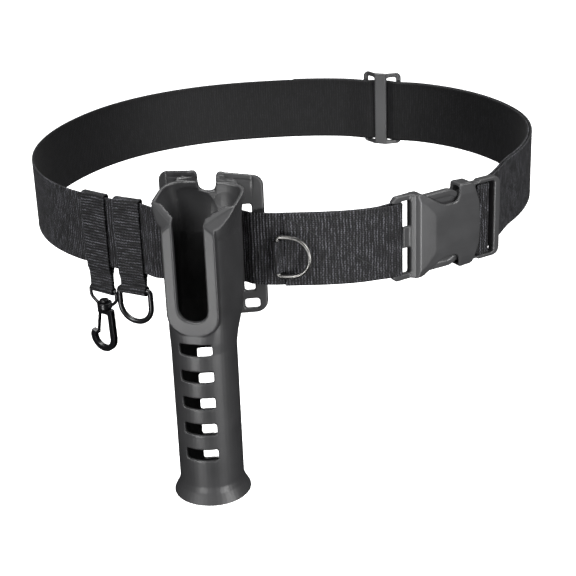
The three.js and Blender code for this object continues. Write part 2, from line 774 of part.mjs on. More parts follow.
// Everything above the mouth's rim, seen from the side
function mouthCut() {
  const sideTop = MOUTH_FRONT_TOP + MOUTH_SIDE_RISE;
  const back = PLATE_SETOUT + PLATE_THICKNESS / 2;
  const shape = polygon([
    point(back, sideTop + MOUTH_BACK_RISE),
    point(MOUTH_SHOULDER, sideTop),
    point(FRAME_FACE, MOUTH_FRONT_TOP),
    point(THROUGH, MOUTH_FRONT_TOP),
    point(THROUGH, THROUGH),
    point(back, THROUGH),
  ]);
  return sidePrism(shape, 0, 2 * THROUGH);
}

// The cup's back wall is open behind the plate's notch
function notchCut() {
  const half = NOTCH_WIDTH / 2;
  const shape = roundedBox(-half, half, NOTCH_BOTTOM, THROUGH, 0);
  return frontPrism(shape, -THROUGH, PLATE_SETOUT + PLATE_THICKNESS);
}

// The raised frame round the front slot, a little proud of the cup
function frontFrame() {
  const half = FRAME_HALF_WIDTH;
  const foot = FRONT_SLOT_BOTTOM + FRAME_FOOT;
  const shape = roundedShape([
    [-half, -foot, FRAME_CORNER],
    [half, -foot, FRAME_CORNER],
    [half, PLATE_TOP, 0],
    [-half, PLATE_TOP, 0],
  ]);
  return frontPrism(shape, FRAME_FACE - FRAME_DEPTH, FRAME_FACE);
}

function frontSlotCut() {
  const half = FRONT_SLOT_WIDTH / 2;
  const shape = roundedShape([
    [-half, -FRONT_SLOT_BOTTOM, FRONT_SLOT_CORNER],
    [half, -FRONT_SLOT_BOTTOM, FRONT_SLOT_CORNER],
    [half, THROUGH, 0],
    [-half, THROUGH, 0],
  ]);
  return frontPrism(shape, TUBE_AXIS, THROUGH);
}

function windowCut(top, near, far) {
  const half = WINDOW_WIDTH / 2;
  return frontPrism(roundedBox(-half, half, top - WINDOW_HEIGHT, top, HOLE_CORNER), near, far);
}

function rodHolder() {
  let body = holderBody(0).add(frontFrame()).subtract(bevelCuts(0));
  body = body.subtract(mouthCut()).subtract(notchCut()).add(holderPlate());
  const hollow = holderBody(HOLDER_WALL).subtract(bevelCuts(HOLDER_WALL));
  body = body.subtract(hollow).subtract(frontSlotCut());
  for (let k = 0; k < WINDOW_COUNT; k += 1) {
    const top = -WINDOW_TOP - k * WINDOW_PITCH;
    body = body.subtract(windowCut(top, TUBE_AXIS, THROUGH));
    body = body.subtract(windowCut(top - REAR_WINDOW_DROP, -THROUGH, TUBE_AXIS));
  }
  return piece('rod_holder', body, materials.holder);
}

// Buckle: a socket sewn to the belt's front end, and a prong frame on its adjustable end

// Half of the socket's outline from its left end to its mouth. x is a share of its length,
// z and the corner's radius are shares of its half height
const SOCKET_OUTLINE = [
  { x: 0, z: 0.88, round: 0.1 },
  { x: 0.05, z: 1, round: 0.1 },
  { x: 0.32, z: 0.985, round: 0.34 },
  { x: 0.55, z: 0.63, round: 0.41 },
  { x: 0.743, z: 0.61, round: 0.17 },
  { x: 0.763, z: 0.99, round: 0.05 },
  { x: 0.934, z: 0.985, round: 0.13 },
  { x: 0.993, z: 0.45, round: 1 },
];

// The socket's back and front along its length, as shares of its depths behind and before the belt
const SOCKET_PROFILE = [
  { x: 0, back: 0.2, front: 0.32 },
  { x: 0.22, back: 0.5, front: 0.3 },
  { x: 0.25, back: 0.65, front: 0.64 },
  { x: 0.29, back: 0.8, front: 0.82 },
  { x: 0.46, back: 1, front: 0.97 },
  { x: 1, back: 1, front: 1 },
];

// One prong's middle line from its root to its tip. x is a share of its length, and the distance inwards
// from the socket's wall and the corner's radius are shares of its width
const PRONG_LINE = [
  { x: -0.09, inward: 1.1, round: 0 },
  { x: 0.18, inward: 1.1, round: 1.1 },
  { x: 0.42, inward: 0, round: 1.7 },
  { x: 1, inward: 0.1, round: 0 },
];

function socketX(share) {
  return THREE.MathUtils.lerp(-SEWN_BAR_WIDTH / 2 - SOCKET_END_REACH, SOCKET_LENGTH, share);
}

function socketOutline() {
  const h = BUCKLE_HALF_HEIGHT;
  const upper = SOCKET_OUTLINE.map((row) => [socketX(row.x), row.z * h, row.round * h]);
  const lower = upper.map(([x, z, radius]) => [x, -z, radius]).reverse();
  return roundedShape([...upper, ...lower]);
}

function socketProfile() {
  const front = SOCKET_PROFILE.map((row) => point(socketX(row.x), -row.front * SOCKET_FRONT));
  const back = SOCKET_PROFILE.map((row) => point(socketX(row.x), row.back * SOCKET_BACK));
  return polygon([...front, ...back.reverse()]);
}

// The socket's crowned section, in the outward and upward directions
function socketCrown() {
  const h = BUCKLE_HALF_HEIGHT;
  const points = [];
  for (let k = -CORNER_FACETS; k <= CORNER_FACETS; k += 1) {
    const share = k / CORNER_FACETS;
    points.push(point(SOCKET_FRONT - SOCKET_CROWN * Math.abs(share) ** CROWN_POWER, -share * h));
  }
  return polygon([...points, point(-THROUGH, -h), point(-THROUGH, h)]);
}

// A bar across the buckle, rounded at its edges, in the plan of its frame
function buckleBar(x, out, width, thickness) {
  const round = BAR_ROUND * thickness;
  const [half, deep] = [width / 2, thickness / 2];
  const shape = roundedBox(x - half, x + half, -out - deep, -out + deep, round);
  return planPrism(shape, -WEB_ROOM - GAP, WEB_ROOM + GAP);
}

function buckleSocket() {
  const h = BUCKLE_HALF_HEIGHT;
  let body = frontPrism(socketOutline(), -THROUGH, THROUGH);
  body = body.intersect(planPrism(socketProfile(), -THROUGH, THROUGH));
  body = body.intersect(sidePrism(socketCrown(), 0, 2 * THROUGH));

  const slot = roundedBox(0, SOCKET_START, -WEB_ROOM, WEB_ROOM, HOLE_CORNER);
  body = body.subtract(frontPrism(slot, -THROUGH, THROUGH));
  const foldRoom = roundedBox(-THROUGH, SEWN_BAR_WIDTH / 2, -THROUGH, THROUGH, 0);
  body = body.subtract(planPrism(foldRoom, -WEB_ROOM, WEB_ROOM));
  body = body.add(buckleBar(0, SEWN_BAR_OUT, SEWN_BAR_WIDTH, SEWN_BAR_THICKNESS));

  // A stop in the middle of the slot keeps the strap's fold on its bar
  const stop = roundedBox(FOLD_END + GAP, SOCKET_START + GAP, -SOCKET_STOP_HALF, SOCKET_STOP_HALF, 0);
  const deep = SOCKET_STOP_THICKNESS / 2;
  body = body.add(frontPrism(stop, SEWN_BAR_OUT - deep, SEWN_BAR_OUT + deep));

  const room = PRONG_FRAME_THICKNESS / 2 + GAP;
  const [front, back] = [-PRONG_BAR_OUT - room, -PRONG_BAR_OUT + room];
  const hollow = roundedBox(SOCKET_HOLLOW_START, THROUGH, front, back, HOLE_CORNER);
  return body.subtract(planPrism(hollow, -h + SOCKET_WALL, h - SOCKET_WALL));
}

// An outline raised to a thickness about the middle of the prong frame
function prongPlate(shape, thickness) {
  return frontPrism(shape, PRONG_BAR_OUT - thickness / 2, PRONG_BAR_OUT + thickness / 2);
}

function prongFrame() {
  const left = SOCKET_LENGTH - PRONG_PLATE_REACH;
  const slotLeft = PRONG_BAR_X - PRONG_BAR_WIDTH / 2 - PRONG_SLOT;
  const windowEnd = PRONG_BAR_X + PRONG_BAR_WIDTH / 2 + PRONG_WINDOW;
  const right = windowEnd + PRONG_END_BAR;
  const outer = WEB_ROOM + PRONG_RAIL;
  const wall = BUCKLE_HALF_HEIGHT - SOCKET_WALL - GAP;
  const inner = Math.min(outer, wall);
  const step = SOCKET_LENGTH + GAP;
  const outline = roundedShape([
    [left, -inner, HOLE_CORNER],
    [step, -inner, 0],
    [step + outer - inner, -outer, 0],
    [right, -outer, PRONG_FRAME_CORNER],
    [right, outer, PRONG_FRAME_CORNER],
    [step + outer - inner, outer, 0],
    [step, inner, 0],
    [left, inner, HOLE_CORNER],
  ]);
  outline.holes.push(roundedBox(slotLeft, windowEnd, -WEB_ROOM, WEB_ROOM, HOLE_CORNER));
  const tongueHalf = PRONG_TONGUE_WIDTH / 2;
  const tongue = roundedBox(left - PRONG_TONGUE_LENGTH, slotLeft, -tongueHalf, tongueHalf, HOLE_CORNER);
  const arm = (side) => {
    const line = roundedPoints(PRONG_LINE.map((row) => [
      left - row.x * PRONG_ARM_LENGTH,
      side * (wall - (row.inward + 1 / 2) * PRONG_ARM_WIDTH),
      row.round * PRONG_ARM_WIDTH,
    ]), false);
    // The web behind the arm fills the socket's thumb cut-out
    const edges = [side * (wall - PRONG_ARM_WIDTH + GAP), side * (wall - PRONG_WEB_REACH)];
    const web = roundedBox(left - PRONG_ARM_LENGTH, left, Math.min(...edges), Math.max(...edges), 0);
    return prongPlate(ribbonShape(line, PRONG_ARM_WIDTH), PRONG_ARM_THICKNESS)
      .add(prongPlate(web, PRONG_WEB_THICKNESS));
  };
  return prongPlate(outline, PRONG_FRAME_THICKNESS)
    .add(buckleBar(PRONG_BAR_X, PRONG_BAR_OUT, PRONG_BAR_WIDTH, PRONG_BAR_THICKNESS))
    .add(prongPlate(tongue, PRONG_TONGUE_THICKNESS))
    .add(arm(1))
    .add(arm(-1));
}

function buckle() {
  return placed(buckleFrame, [
    piece('buckle_socket', buckleSocket(), materials.buckle),
    piece('buckle_prongs', prongFrame(), materials.buckle),
  ]);
}

// Slider: a joggled frame of three bars between two rails
function strapSlider() {
  const half = SLIDER_WIDTH / 2;
  const inner = SLIDER_CENTRE_BAR / 2;
  const outer = half - SLIDER_SIDE_BAR;
  const line = (offset) => [
    point(-half, -(SLIDER_OUT + SLIDER_JOGGLE + offset)),
    point(-outer, -(SLIDER_OUT + SLIDER_JOGGLE + offset)),
    point(-inner, -(SLIDER_OUT - SLIDER_JOGGLE + offset)),
    point(inner, -(SLIDER_OUT - SLIDER_JOGGLE + offset)),
    point(outer, -(SLIDER_OUT + SLIDER_JOGGLE + offset)),
    point(half, -(SLIDER_OUT + SLIDER_JOGGLE + offset)),
  ];
  const strip = polygon([...line(SLIDER_THICKNESS / 2), ...line(-SLIDER_THICKNESS / 2).reverse()]);
  const low = -WEB_ROOM;
  const high = WEB_HALF + SLIDER_HEADROOM;
  const outline = roundedBox(-half, half, low - SLIDER_RAIL, high + SLIDER_RAIL, SLIDER_CORNER);
  outline.holes.push(roundedBox(inner, outer, low, high, HOLE_CORNER));
  outline.holes.push(roundedBox(-outer, -inner, low, high, HOLE_CORNER));
  const body = planPrism(strip, -THROUGH, THROUGH).intersect(frontPrism(outline, -THROUGH, THROUGH));
  return placed(stations.slider, [piece('strap_slider', body, materials.slider)]);
}

// A round wire along a closed path in the x, z plane, at a distance out of the belt
function closedWire(corners, wire, out) {
  const flat = roundedPoints(corners, true);
  if (THREE.ShapeUtils.isClockWise(flat)) {
    flat.reverse();
  }
  const radius = wire / 2;
  const ways = flat.map((p, i) => {
    const before = flat[(i + flat.length - 1) % flat.length];
    const after = flat[(i + 1) % flat.length];
    return after.clone().sub(before).normalize();
  });
  const rings = flat.map((p, i) => {
    const ring = [];
    for (let k = 0; k < WIRE_FACETS; k += 1) {
      const angle = (2 * Math.PI * k) / WIRE_FACETS;
      const aside = outward(ways[i]).multiplyScalar(radius * Math.cos(angle));
      ring.push(new THREE.Vector3(p.x + aside.x, -out + radius * Math.sin(angle), p.y + aside.y));
    }
    return ring;
  });
  const positions = [];
  const put = (...points) => points.forEach((q) => positions.push(q.x, q.y, q.z));
  rings.forEach((ring, i) => {
    const next = rings[(i + 1) % rings.length];
    for (let k = 0; k < WIRE_FACETS; k += 1) {
      const j = (k + 1) % WIRE_FACETS;
      put(ring[k], next[j], next[k]);
      put(ring[k], ring[j], next[j]);
    }
  });
  const geometry = new THREE.BufferGeometry();
  geometry.setAttribute('position', new THREE.Float32BufferAttribute(positions, 3));
  return solid(geometry);
}

// Steel ring in front of the belt, its bow tilted out over the sewn end, and the tab on its straight side
function steelRing(line) {
  const out = LAYER_PITCH + WEB_THICKNESS / 2 + GAP + RING_WIRE / 2;
  const bow = RING_HEIGHT / 2;
  const low = -bow - RING_DROP;
  const ring = closedWire([
    [0, low, RING_CORNER],
    [RING_STRAIGHT + bow, low, bow * RING_BOW_SHARE],
    [RING_STRAIGHT + bow, low + RING_HEIGHT, bow * RING_BOW_SHARE],
    [0, low + RING_HEIGHT, RING_CORNER],
  ], RING_WIRE, 0);
  const tilted = ring.rotate([0, 0, -RING_TILT_DEG]).translate([0, -out, 0]);

  const bore = RING_WIRE / 2 + GAP;
  const base = WEB_THICKNESS / 2 + GAP;
  const shape = polygon([
    ...arc(point(0, -out), bore + TAB_THICKNESS, -90, -270),
    point(TAB_REACH, -base),
    point(TAB_REACH, -base - 2 * TAB_THICKNESS),
  ]);
  shape.holes.push(roundHole(point(0, -out), bore));
  const tab = planPrism(shape, -TAB_HEIGHT / 2 - RING_DROP, TAB_HEIGHT / 2 - RING_DROP);
  return placed(ringFrame(line), [
    piece('steel_ring', tilted, materials.steel),
    piece('ring_tab', tab, materials.webbing),
  ]);
}

// The ring's straight side lies just past the sewn end's raw edge
function ringFrame(line) {
  const end = line[line.length - 1];
  const before = line[line.length - 2];
  const way = before.clone().sub(end).normalize();
  const heading = THREE.MathUtils.radToDeg(Math.atan2(way.y, way.x));
  const origin = end.clone()
    .addScaledVector(way, -TAB_REACH - GAP)
    .addScaledVector(outward(way), -LAYER_PITCH);
  return { origin, heading };
}

// Hangers: bands round the belt that hold a ring in a fold below it

// A band round the belt, closed below it, with an eye for a bar
function hangerBand(length, bar, name) {
  const inner = WEB_THICKNESS / 2 + HANGER_EASE;
  const outer = inner + HANGER_THICKNESS;
  const top = WEB_HALF + HANGER_EASE;
  const eye = bar / 2 + GAP;
  const eyeZ = -WEB_HALF - length;
  const eyeOuter = eye + HANGER_THICKNESS;
  const half = [
    [outer, top + HANGER_THICKNESS, outer * HANGER_ROUND],
    [outer, -top, HANGER_BEND],
    [HANGER_THICKNESS, -top - HANGER_SHOULDER, HANGER_BEND],
    [HANGER_THICKNESS, eyeZ + eyeOuter * HANGER_EYE_RISE, HANGER_THICKNESS],
    [eyeOuter, eyeZ + eyeOuter / 2, HANGER_THICKNESS / 2],
    [eyeOuter, eyeZ - eyeOuter, eyeOuter * HANGER_ROUND],
  ];
  const other = half.map(([x, z, radius]) => [-x, z, radius]).reverse();
  const shape = roundedShape([...half, ...other]);
  shape.holes.push(roundedBox(-inner, inner, -top, top, inner * HANGER_ROUND));
  shape.holes.push(roundHole(point(0, eyeZ), eye));
  return piece(name, sidePrism(shape, 0, HANGER_WIDTH), materials.hanger);
}

function cylinder(radius, low, high) {
  const profile = [point(0, low), point(radius, low), point(radius, high), point(0, high)];
  return solid(new THREE.LatheGeometry(profile, ROUND_FACETS / 2).rotateX(Math.PI / 2));
}

// The swivel's eye: a bar in the hanger's fold, and a collar below with a hole for the hook's pivot
function swivelEye(barZ) {
  const low = barZ - EYE_HEIGHT;
  const wire = closedWire([
    [-EYE_HALF_WIDTH, barZ, EYE_CORNER],
    [-EYE_HALF_WIDTH, low + EYE_SHOULDER, EYE_SHOULDER],
    [-COLLAR_RADIUS, low, EYE_CORNER],
    [COLLAR_RADIUS, low, EYE_CORNER],
    [EYE_HALF_WIDTH, low + EYE_SHOULDER, EYE_SHOULDER],
    [EYE_HALF_WIDTH, barZ, EYE_CORNER],
  ], EYE_WIRE, 0);
  const collar = cylinder(COLLAR_RADIUS, low - COLLAR_HEIGHT / 2, low + COLLAR_HEIGHT / 2);
  return wire.add(collar).subtract(cylinder(PIVOT_RADIUS + GAP, -THROUGH, THROUGH));
}

// The hook: a pivot through the collar with a head above it, a spine, a bow, a tip and a thin gate
function snapHook(barZ) {
  const collarMiddle = barZ - EYE_HEIGHT;
  const rivetLow = collarMiddle + COLLAR_HEIGHT / 2 + GAP;
  const shoulder = collarMiddle - COLLAR_HEIGHT / 2 - GAP;
  const pivot = cylinder(PIVOT_RADIUS, shoulder - PIVOT_ROOT, rivetLow + PIVOT_ROOT);
  const rivet = cylinder(PIVOT_HEAD_RADIUS, rivetLow, rivetLow + PIVOT_HEAD_HEIGHT);

  const headLow = shoulder - HOOK_HEAD_HEIGHT;
  const headMiddle = shoulder - HOOK_HEAD_HEIGHT / 2;
  const bow = headLow - HOOK_SHANK_LENGTH;
  const centre = HOOK_SPINE - HOOK_BOW_RADIUS;
  const tip = centre - HOOK_BOW_RADIUS + HOOK_TIP_LEAN;
  const spine = [
    point(HOOK_SPINE - HOOK_SPINE_LEAN, headMiddle),
    ...arc(point(centre, bow), HOOK_BOW_RADIUS, 0, -180),
    point(tip, bow + HOOK_TIP_RISE),
  ];
  const gateLine = [
    point(-GATE_ROOT, headMiddle),
    point(tip + HOOK_WIRE / 2 + GAP + GATE_THICKNESS / 2, bow + GATE_END_RISE),
  ];
  const deep = (shape, depth) => frontPrism(shape, -depth / 2, depth / 2);
  const head = roundedBox(-HOOK_HEAD_LEFT, HOOK_HEAD_RIGHT, headLow, shoulder, HOLE_CORNER);
  return pivot
    .add(rivet)
    .add(deep(ribbonShape(spine, HOOK_WIRE), HOOK_DEPTH))
    .add(deep(head, HOOK_DEPTH))
    .add(deep(ribbonShape(gateLine, GATE_THICKNESS), GATE_DEPTH));
}

function hookHanger() {
  const barZ = -WEB_HALF - HOOK_HANGER_LENGTH;
  return placed(stations.hook_hanger, [
    hangerBand(HOOK_HANGER_LENGTH, EYE_WIRE, 'hook_hanger'),
    piece('swivel_eye', swivelEye(barZ), materials.hook),
    piece('snap_hook', snapHook(barZ), materials.hook),
  ]);
}

function ringHanger() {
  const barZ = -WEB_HALF - RING_HANGER_LENGTH;
  const half = LOOP_RING_HALF_WIDTH;
  const low = barZ - LOOP_RING_STRAIGHT - half;
  const ring = closedWire([
    [-half, barZ, LOOP_RING_CORNER],
    [-half, low, half * RING_BOW_SHARE],
    [half, low, half * RING_BOW_SHARE],
    [half, barZ, LOOP_RING_CORNER],
  ], LOOP_RING_WIRE, 0);
  return placed(stations.ring_hanger, [
    hangerBand(RING_HANGER_LENGTH, LOOP_RING_WIRE, 'ring_hanger'),
    piece('hanger_ring', ring, materials.hook),
  ]);
}

const strapLine = webbingLine();
const belt = new THREE.Group();
belt.name = 'rod_holder_belt';
belt.add(
  beltWebbing(strapLine),
  placed(stations.holder, [rodHolder()]),
  buckle(),
  strapSlider(),
  steelRing(strapLine),
  hookHanger(),
  ringHanger(),
);

export default belt;
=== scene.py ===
"""A webbing waist belt with a rod holder: the finished look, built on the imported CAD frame."""

import math

import bmesh
import bpy
import numpy as np
from bpy.props import FloatProperty, IntProperty, PointerProperty, StringProperty
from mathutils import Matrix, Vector


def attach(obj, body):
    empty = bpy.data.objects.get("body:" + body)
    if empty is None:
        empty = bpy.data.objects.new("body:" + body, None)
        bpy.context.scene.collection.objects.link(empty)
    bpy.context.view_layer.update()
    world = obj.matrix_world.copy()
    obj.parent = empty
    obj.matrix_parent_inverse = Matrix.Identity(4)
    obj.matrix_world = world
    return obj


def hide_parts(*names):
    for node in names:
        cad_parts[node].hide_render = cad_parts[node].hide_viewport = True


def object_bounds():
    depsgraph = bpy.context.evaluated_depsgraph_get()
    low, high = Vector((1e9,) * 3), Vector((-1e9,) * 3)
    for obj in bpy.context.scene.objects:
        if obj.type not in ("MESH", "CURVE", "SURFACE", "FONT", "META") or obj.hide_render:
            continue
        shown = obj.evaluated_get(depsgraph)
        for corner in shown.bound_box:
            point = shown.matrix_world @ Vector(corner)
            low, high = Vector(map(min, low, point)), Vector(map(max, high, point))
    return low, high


bl_info = {
    "name": "Rod Holder Belt",
    "version": (1, 0, 0),
    "blender": (4, 5, 0),
    "location": "3D View > Sidebar > Rod Belt",
    "description": "Builds a webbing waist belt with a moulded rod holder and its fittings",
    "category": "Object",
}

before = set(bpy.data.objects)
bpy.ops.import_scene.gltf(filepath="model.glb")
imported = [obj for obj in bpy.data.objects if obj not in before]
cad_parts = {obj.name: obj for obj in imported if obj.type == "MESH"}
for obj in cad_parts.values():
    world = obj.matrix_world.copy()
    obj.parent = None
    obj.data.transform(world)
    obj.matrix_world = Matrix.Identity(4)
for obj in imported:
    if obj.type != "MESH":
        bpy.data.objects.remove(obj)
CAD_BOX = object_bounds()
MM = 0.001

# Sizes shared with the part, in mm

# Gap between neighbouring pieces
GAP = 0.3
WEB_WIDTH = 50.0
WEB_THICKNESS = 1.8
LAYER_PITCH = WEB_THICKNESS + GAP
LOOP_WIDTH = 357.0
LOOP_DEPTH = 321.0
# Length of the sewn end, and of the outer layer past the slider's middle
SEWN_END = 73.0
SLIDER_TAIL = 76.0
# Length over which the strap eases from one distance to another
EASE = 16.0

# The holder's plate, seen from above: it is swept back outside its flat middle
PLATE_OUT = 3.2
PLATE_HALF_WIDTH = 34.8
PLATE_HALF_THICKNESS = 1.4
PLATE_BEND = 12.0
PLATE_SWEEP = math.radians(20.0)
BELT_SLOT = (20.6, 27.4)

# The slider's bars, as distances from its middle
SLIDER_JOGGLE = 2.4
SLIDER_HALF_THICKNESS = 1.2
SLIDER_BAR_EDGE = 5.0
SLIDER_SLOT_EDGE = 12.2
SLIDER_END = 16.0

# The buckle's bars, in its own frame. PRONG_BAR is (along, out). The outer layer starts
# at the heading STRAP_LEAVES
BAR_HALF_THICKNESS = 1.5
FOLD_RADIUS = BAR_HALF_THICKNESS + GAP + WEB_THICKNESS / 2
FOLD_CENTRE = 1.0
PRONG_BAR = (68.5, 2.9)
PRONG_BAR_HALF_WIDTH = 3.3
STRAP_BEND = 3.0
STRAP_BEND_DEGREES = 27.0
STRAP_LEAVES = 72.0

# The tape loops and what hangs in them. A loop is (its length below the belt, its bar's diameter).
# The pitch between the loops adds up the eye's half width and half wire, the gap, and the ring's
# half wire and half width
TAPE_WIDTH = 20.0
TAPE_THICKNESS = 1.4
TAPE_PLAY = 0.8
TAPE_HALF_NECK = 0.74
HOOK_LOOP = (18.3, 2.4)
RING_LOOP = (13.4, 3.8)
TAPE_STITCH = 2.2
TAPE_MARGIN = 1.2
TAPE_ROWS = (7.4, 5.0)
TAPE_HALF_ROOM = 10.35
EYE_HALF_WIDTH = TAPE_HALF_ROOM + HOOK_LOOP[1] / 2
LOOP_RING_HALF_WIDTH = TAPE_HALF_ROOM + RING_LOOP[1] / 2
LOOP_RING_STRAIGHT = 11.4
HANGER_PITCH = EYE_HALF_WIDTH + HOOK_LOOP[1] / 2 + GAP + RING_LOOP[1] / 2 + LOOP_RING_HALF_WIDTH

# The steel ring and its tab. Heights are from the belt's middle line
RING_WIRE = 1.35
RING_HEIGHT = 27.0
RING_LOW = -17.1
RING_STRAIGHT = 7.5
RING_CORNER = 2.2
RING_TILT = math.radians(11.0)
RING_PAST_END = 4.2
TAB_HALF_THICKNESS = 0.55
TAB_WIDTH = 22.5
TAB_MIDDLE = -3.6
TAB_REACH = 4.1

# Hollows in the holder's back wall: middle along and up, half width, half height, depth, power of the bowl
HOLLOWS = ((-11.0, 26.5, 17.5, 15.5, 2.2, 0.8), (12.5, 24.0, 11.0, 16.0, 1.3, 1.0))
HOLLOW_REACH = 23.0
HOLLOW_OUT = (2.0, 7.5)
# Share of the holder's faces that is kept after its remesh
HOLDER_KEEP = 0.3

# The floor's flat radius and its dome's radius, and the camera as the photo has it
FLOOR_FLAT = 1500.0
FLOOR_DOME = 3000.0
CAMERA_PLACE = (257.2345, -992.0089, 343.4404)
CAMERA_AIM = (9.8931, 0.0232, -97.87)
CAMERA_ROLL = -2.175
CAMERA_LENS = 89.72
# What the lights point at, in metres
LIGHTS_AIM = (0.0, -0.08, -0.02)

# The box of stitches on the sewn end, and the row of stitches past it
SEWN_BOX_START = 6.0
SEWN_BOX_MARGIN = 2.5
SEWN_BOX_HALF_HEIGHT = 21.5
END_ROW_GAP = 3.0
END_ROW_REACH = 1.5
# Spacing of the sections of bands and wires, and a bow's corner radius as a share of its half width
BAND_STEP = 0.9
BOW_ROUND = 0.98

# The belt's route, anticlockwise from above: shares of the loop's width and depth,
# heading in degrees, and the half length of the straight run there in mm
ROUTE = (
    ("right", 0.502, -0.074, 71.5, 0.0),
    ("right_back", 0.481, 0.28, 120.2, 0.0),
    ("slider", 0.159, 0.495, 173.2, 17.5),
    ("back_left", -0.153, 0.45, 200.3, 0.0),
    ("left", -0.439, 0.149, 249.2, 0.0),
    ("left_front", -0.396, -0.318, 307.3, 0.0),
    ("hook_hanger", None, None, 338.2, 6.7),
    ("ring_hanger", -0.166, -0.471, 346.6, 6.7),
    ("holder", 0.0, -0.499, 360.0, 36.3),
    ("steel_ring", 0.15, -0.49, 371.2, 0.0),
)
SOCKET_PLACE = (0.324, -0.409)
BUCKLE_HEADING = 405.0


class BeltSettings(bpy.types.PropertyGroup):
    """Sizes and colours of the woven pieces."""

    rib_pitch: FloatProperty(
        name="Rib pitch",
        description="Distance between the webbing's cross ribs, in mm, coarser than the real ones",
        default=2.0,
        min=0.5,
    )
    thread_pitch: FloatProperty(
        name="Thread pitch",
        description="Distance between the webbing's long threads, in mm",
        default=1.3,
        min=0.3,
    )
    stitch_length: FloatProperty(
        name="Stitch length", description="Length of one stitch and its space, in mm", default=3.3, min=1.0
    )
    thread_size: FloatProperty(
        name="Thread size", description="Diameter of the sewing thread, in mm", default=0.55, min=0.2
    )
    webbing_colour: StringProperty(
        name="Webbing", description="Colour of the dyed webbing", default="151517"
    )
    thread_colour: StringProperty(
        name="Thread", description="Colour of the sewing thread", default="0b0b0c"
    )


class MouldingSettings(bpy.types.PropertyGroup):
    """Sizes and colours of the moulded and metal pieces."""

    holder_cell: FloatProperty(
        name="Holder cell", description="Mesh cell of the holder, in mm", default=0.55, min=0.5
    )
    holder_colour: StringProperty(
        name="Holder", description="Colour of the rod holder's plastic", default="2b2b2c"
    )
    buckle_colour: StringProperty(
        name="Buckle", description="Colour of the buckle's plastic", default="373738"
    )
    hook_colour: StringProperty(
        name="Hook", description="Colour of the hook's plastic", default="0f0f11"
    )
    steel_colour: StringProperty(
        name="Steel", description="Colour of the ring's steel", default="7d7c7a"
    )


class StageSettings(bpy.types.PropertyGroup):
    """The floor, the lights and the camera."""

    key_power: FloatProperty(
        name="Key light", description="Power of the main soft light", default=48.0, unit="POWER"
    )
    fill_power: FloatProperty(
        name="Fill light", description="Power of the side light", default=22.0, unit="POWER"
    )
    card_power: FloatProperty(
        name="Low lights", description="Power of the small lights near the floor", default=2.4, unit="POWER"
    )
    floor_drop: FloatProperty(
        name="Floor drop", description="Height of the floor below the object", default=0.16, unit="LENGTH"
    )
    sides: IntProperty(
        name="Floor sides", description="Number of sides of the round floor", default=96, min=12
    )


# Small tools


def linear(code):
    """sRGB hex to linear RGBA.

    A dark channel is divided by 12.92. Any other is ((c + 0.055) / 1.055) to the power 2.4.
    """
    channels = np.array([int(code[i : i + 2], 16) for i in (0, 2, 4)]) / 255.0
    low = channels / 12.92
    high = ((channels + 0.055) / 1.055) ** 2.4
    return (*np.where(channels <= 0.04045, low, high), 1.0)


def node(tree, kind, inputs=None, **settings):
    """Adds a node with its settings. An input is a value, or an output socket to link from."""
    made = tree.nodes.new(kind)
    for key, value in settings.items():
        setattr(made, key, value)
    for key, value in (inputs or {}).items():
        if isinstance(value, bpy.types.NodeSocket):
            tree.links.new(value, made.inputs[key])
        else:
            made.inputs[key].default_value = value
    return made


def smooth(value, start, end):
    """0 before start, 1 after end, and 3t^2 - 2t^3 between them."""
    share = np.clip((value - start) / (end - start), 0.0, 1.0)
    return share * share * (3.0 - 2.0 * share)


def heading(degrees):
    """The unit direction in plan at an angle from +X."""
    angle = np.radians(degrees)
    return np.stack([np.cos(angle), np.sin(angle)], axis=-1)


def outward(ways):
    """Each direction turned a right angle clockwise, which points out of the belt."""
    return np.stack([ways[..., 1], -ways[..., 0]], axis=-1)


def ways_of(line):
    """Unit tangents of a line of points, by central differences."""
    step = np.gradient(line, axis=0)
    return step / np.linalg.norm(step, axis=1, keepdims=True)


def lengths(line):
    """Running length at each point of a line."""
    return np.concatenate([[0.0], np.cumsum(np.linalg.norm(np.diff(line, axis=0), axis=1))])


def resample(line, spacing):
    """Points evenly spaced along a line, by linear interpolation over its running length."""
    run = lengths(line)
    count = max(int(round(run[-1] / spacing)), 2)
    at = np.linspace(0.0, run[-1], count + 1)
    return np.stack([np.interp(at, run, line[:, i]) for i in range(line.shape[1])], axis=1)


def rounded(corners, closed=False, steps=8):
    """A polyline whose corners (x, y, radius) are arcs.

    Each arc starts at radius / tan(half the corner's angle) from the corner.
    """
    points = np.array([c[:2] for c in corners], float)
    radii = np.array([c[2] if len(c) > 2 else 0.0 for c in corners], float)
    before, after = np.roll(points, 1, axis=0), np.roll(points, -1, axis=0)
    pieces = []
    for here, back, on, radius, index in zip(points, before, after, radii, range(len(points))):
        if radius == 0 or (not closed and index in (0, len(points) - 1)):
            pieces.append(here[None])
            continue
        a = (back - here) / np.linalg.norm(back - here)
        b = (on - here) / np.linalg.norm(on - here)
        half = math.acos(np.clip(a @ b, -1, 1)) / 2
        middle = (a + b) / np.linalg.norm(a + b)
        centre = here + middle * radius / math.sin(half)
        start = here + a * radius / math.tan(half) - centre
        end = here + b * radius / math.tan(half) - centre
        first = math.atan2(start[1], start[0])
        sweep = math.atan2(end[1], end[0]) - first
        sweep -= 2 * math.pi * round(sweep / (2 * math.pi))
        angles = first + sweep * np.linspace(0, 1, steps + 1)
        pieces.append(centre + radius * np.stack([np.cos(angles), np.sin(angles)], axis=1))
    return np.concatenate(pieces)


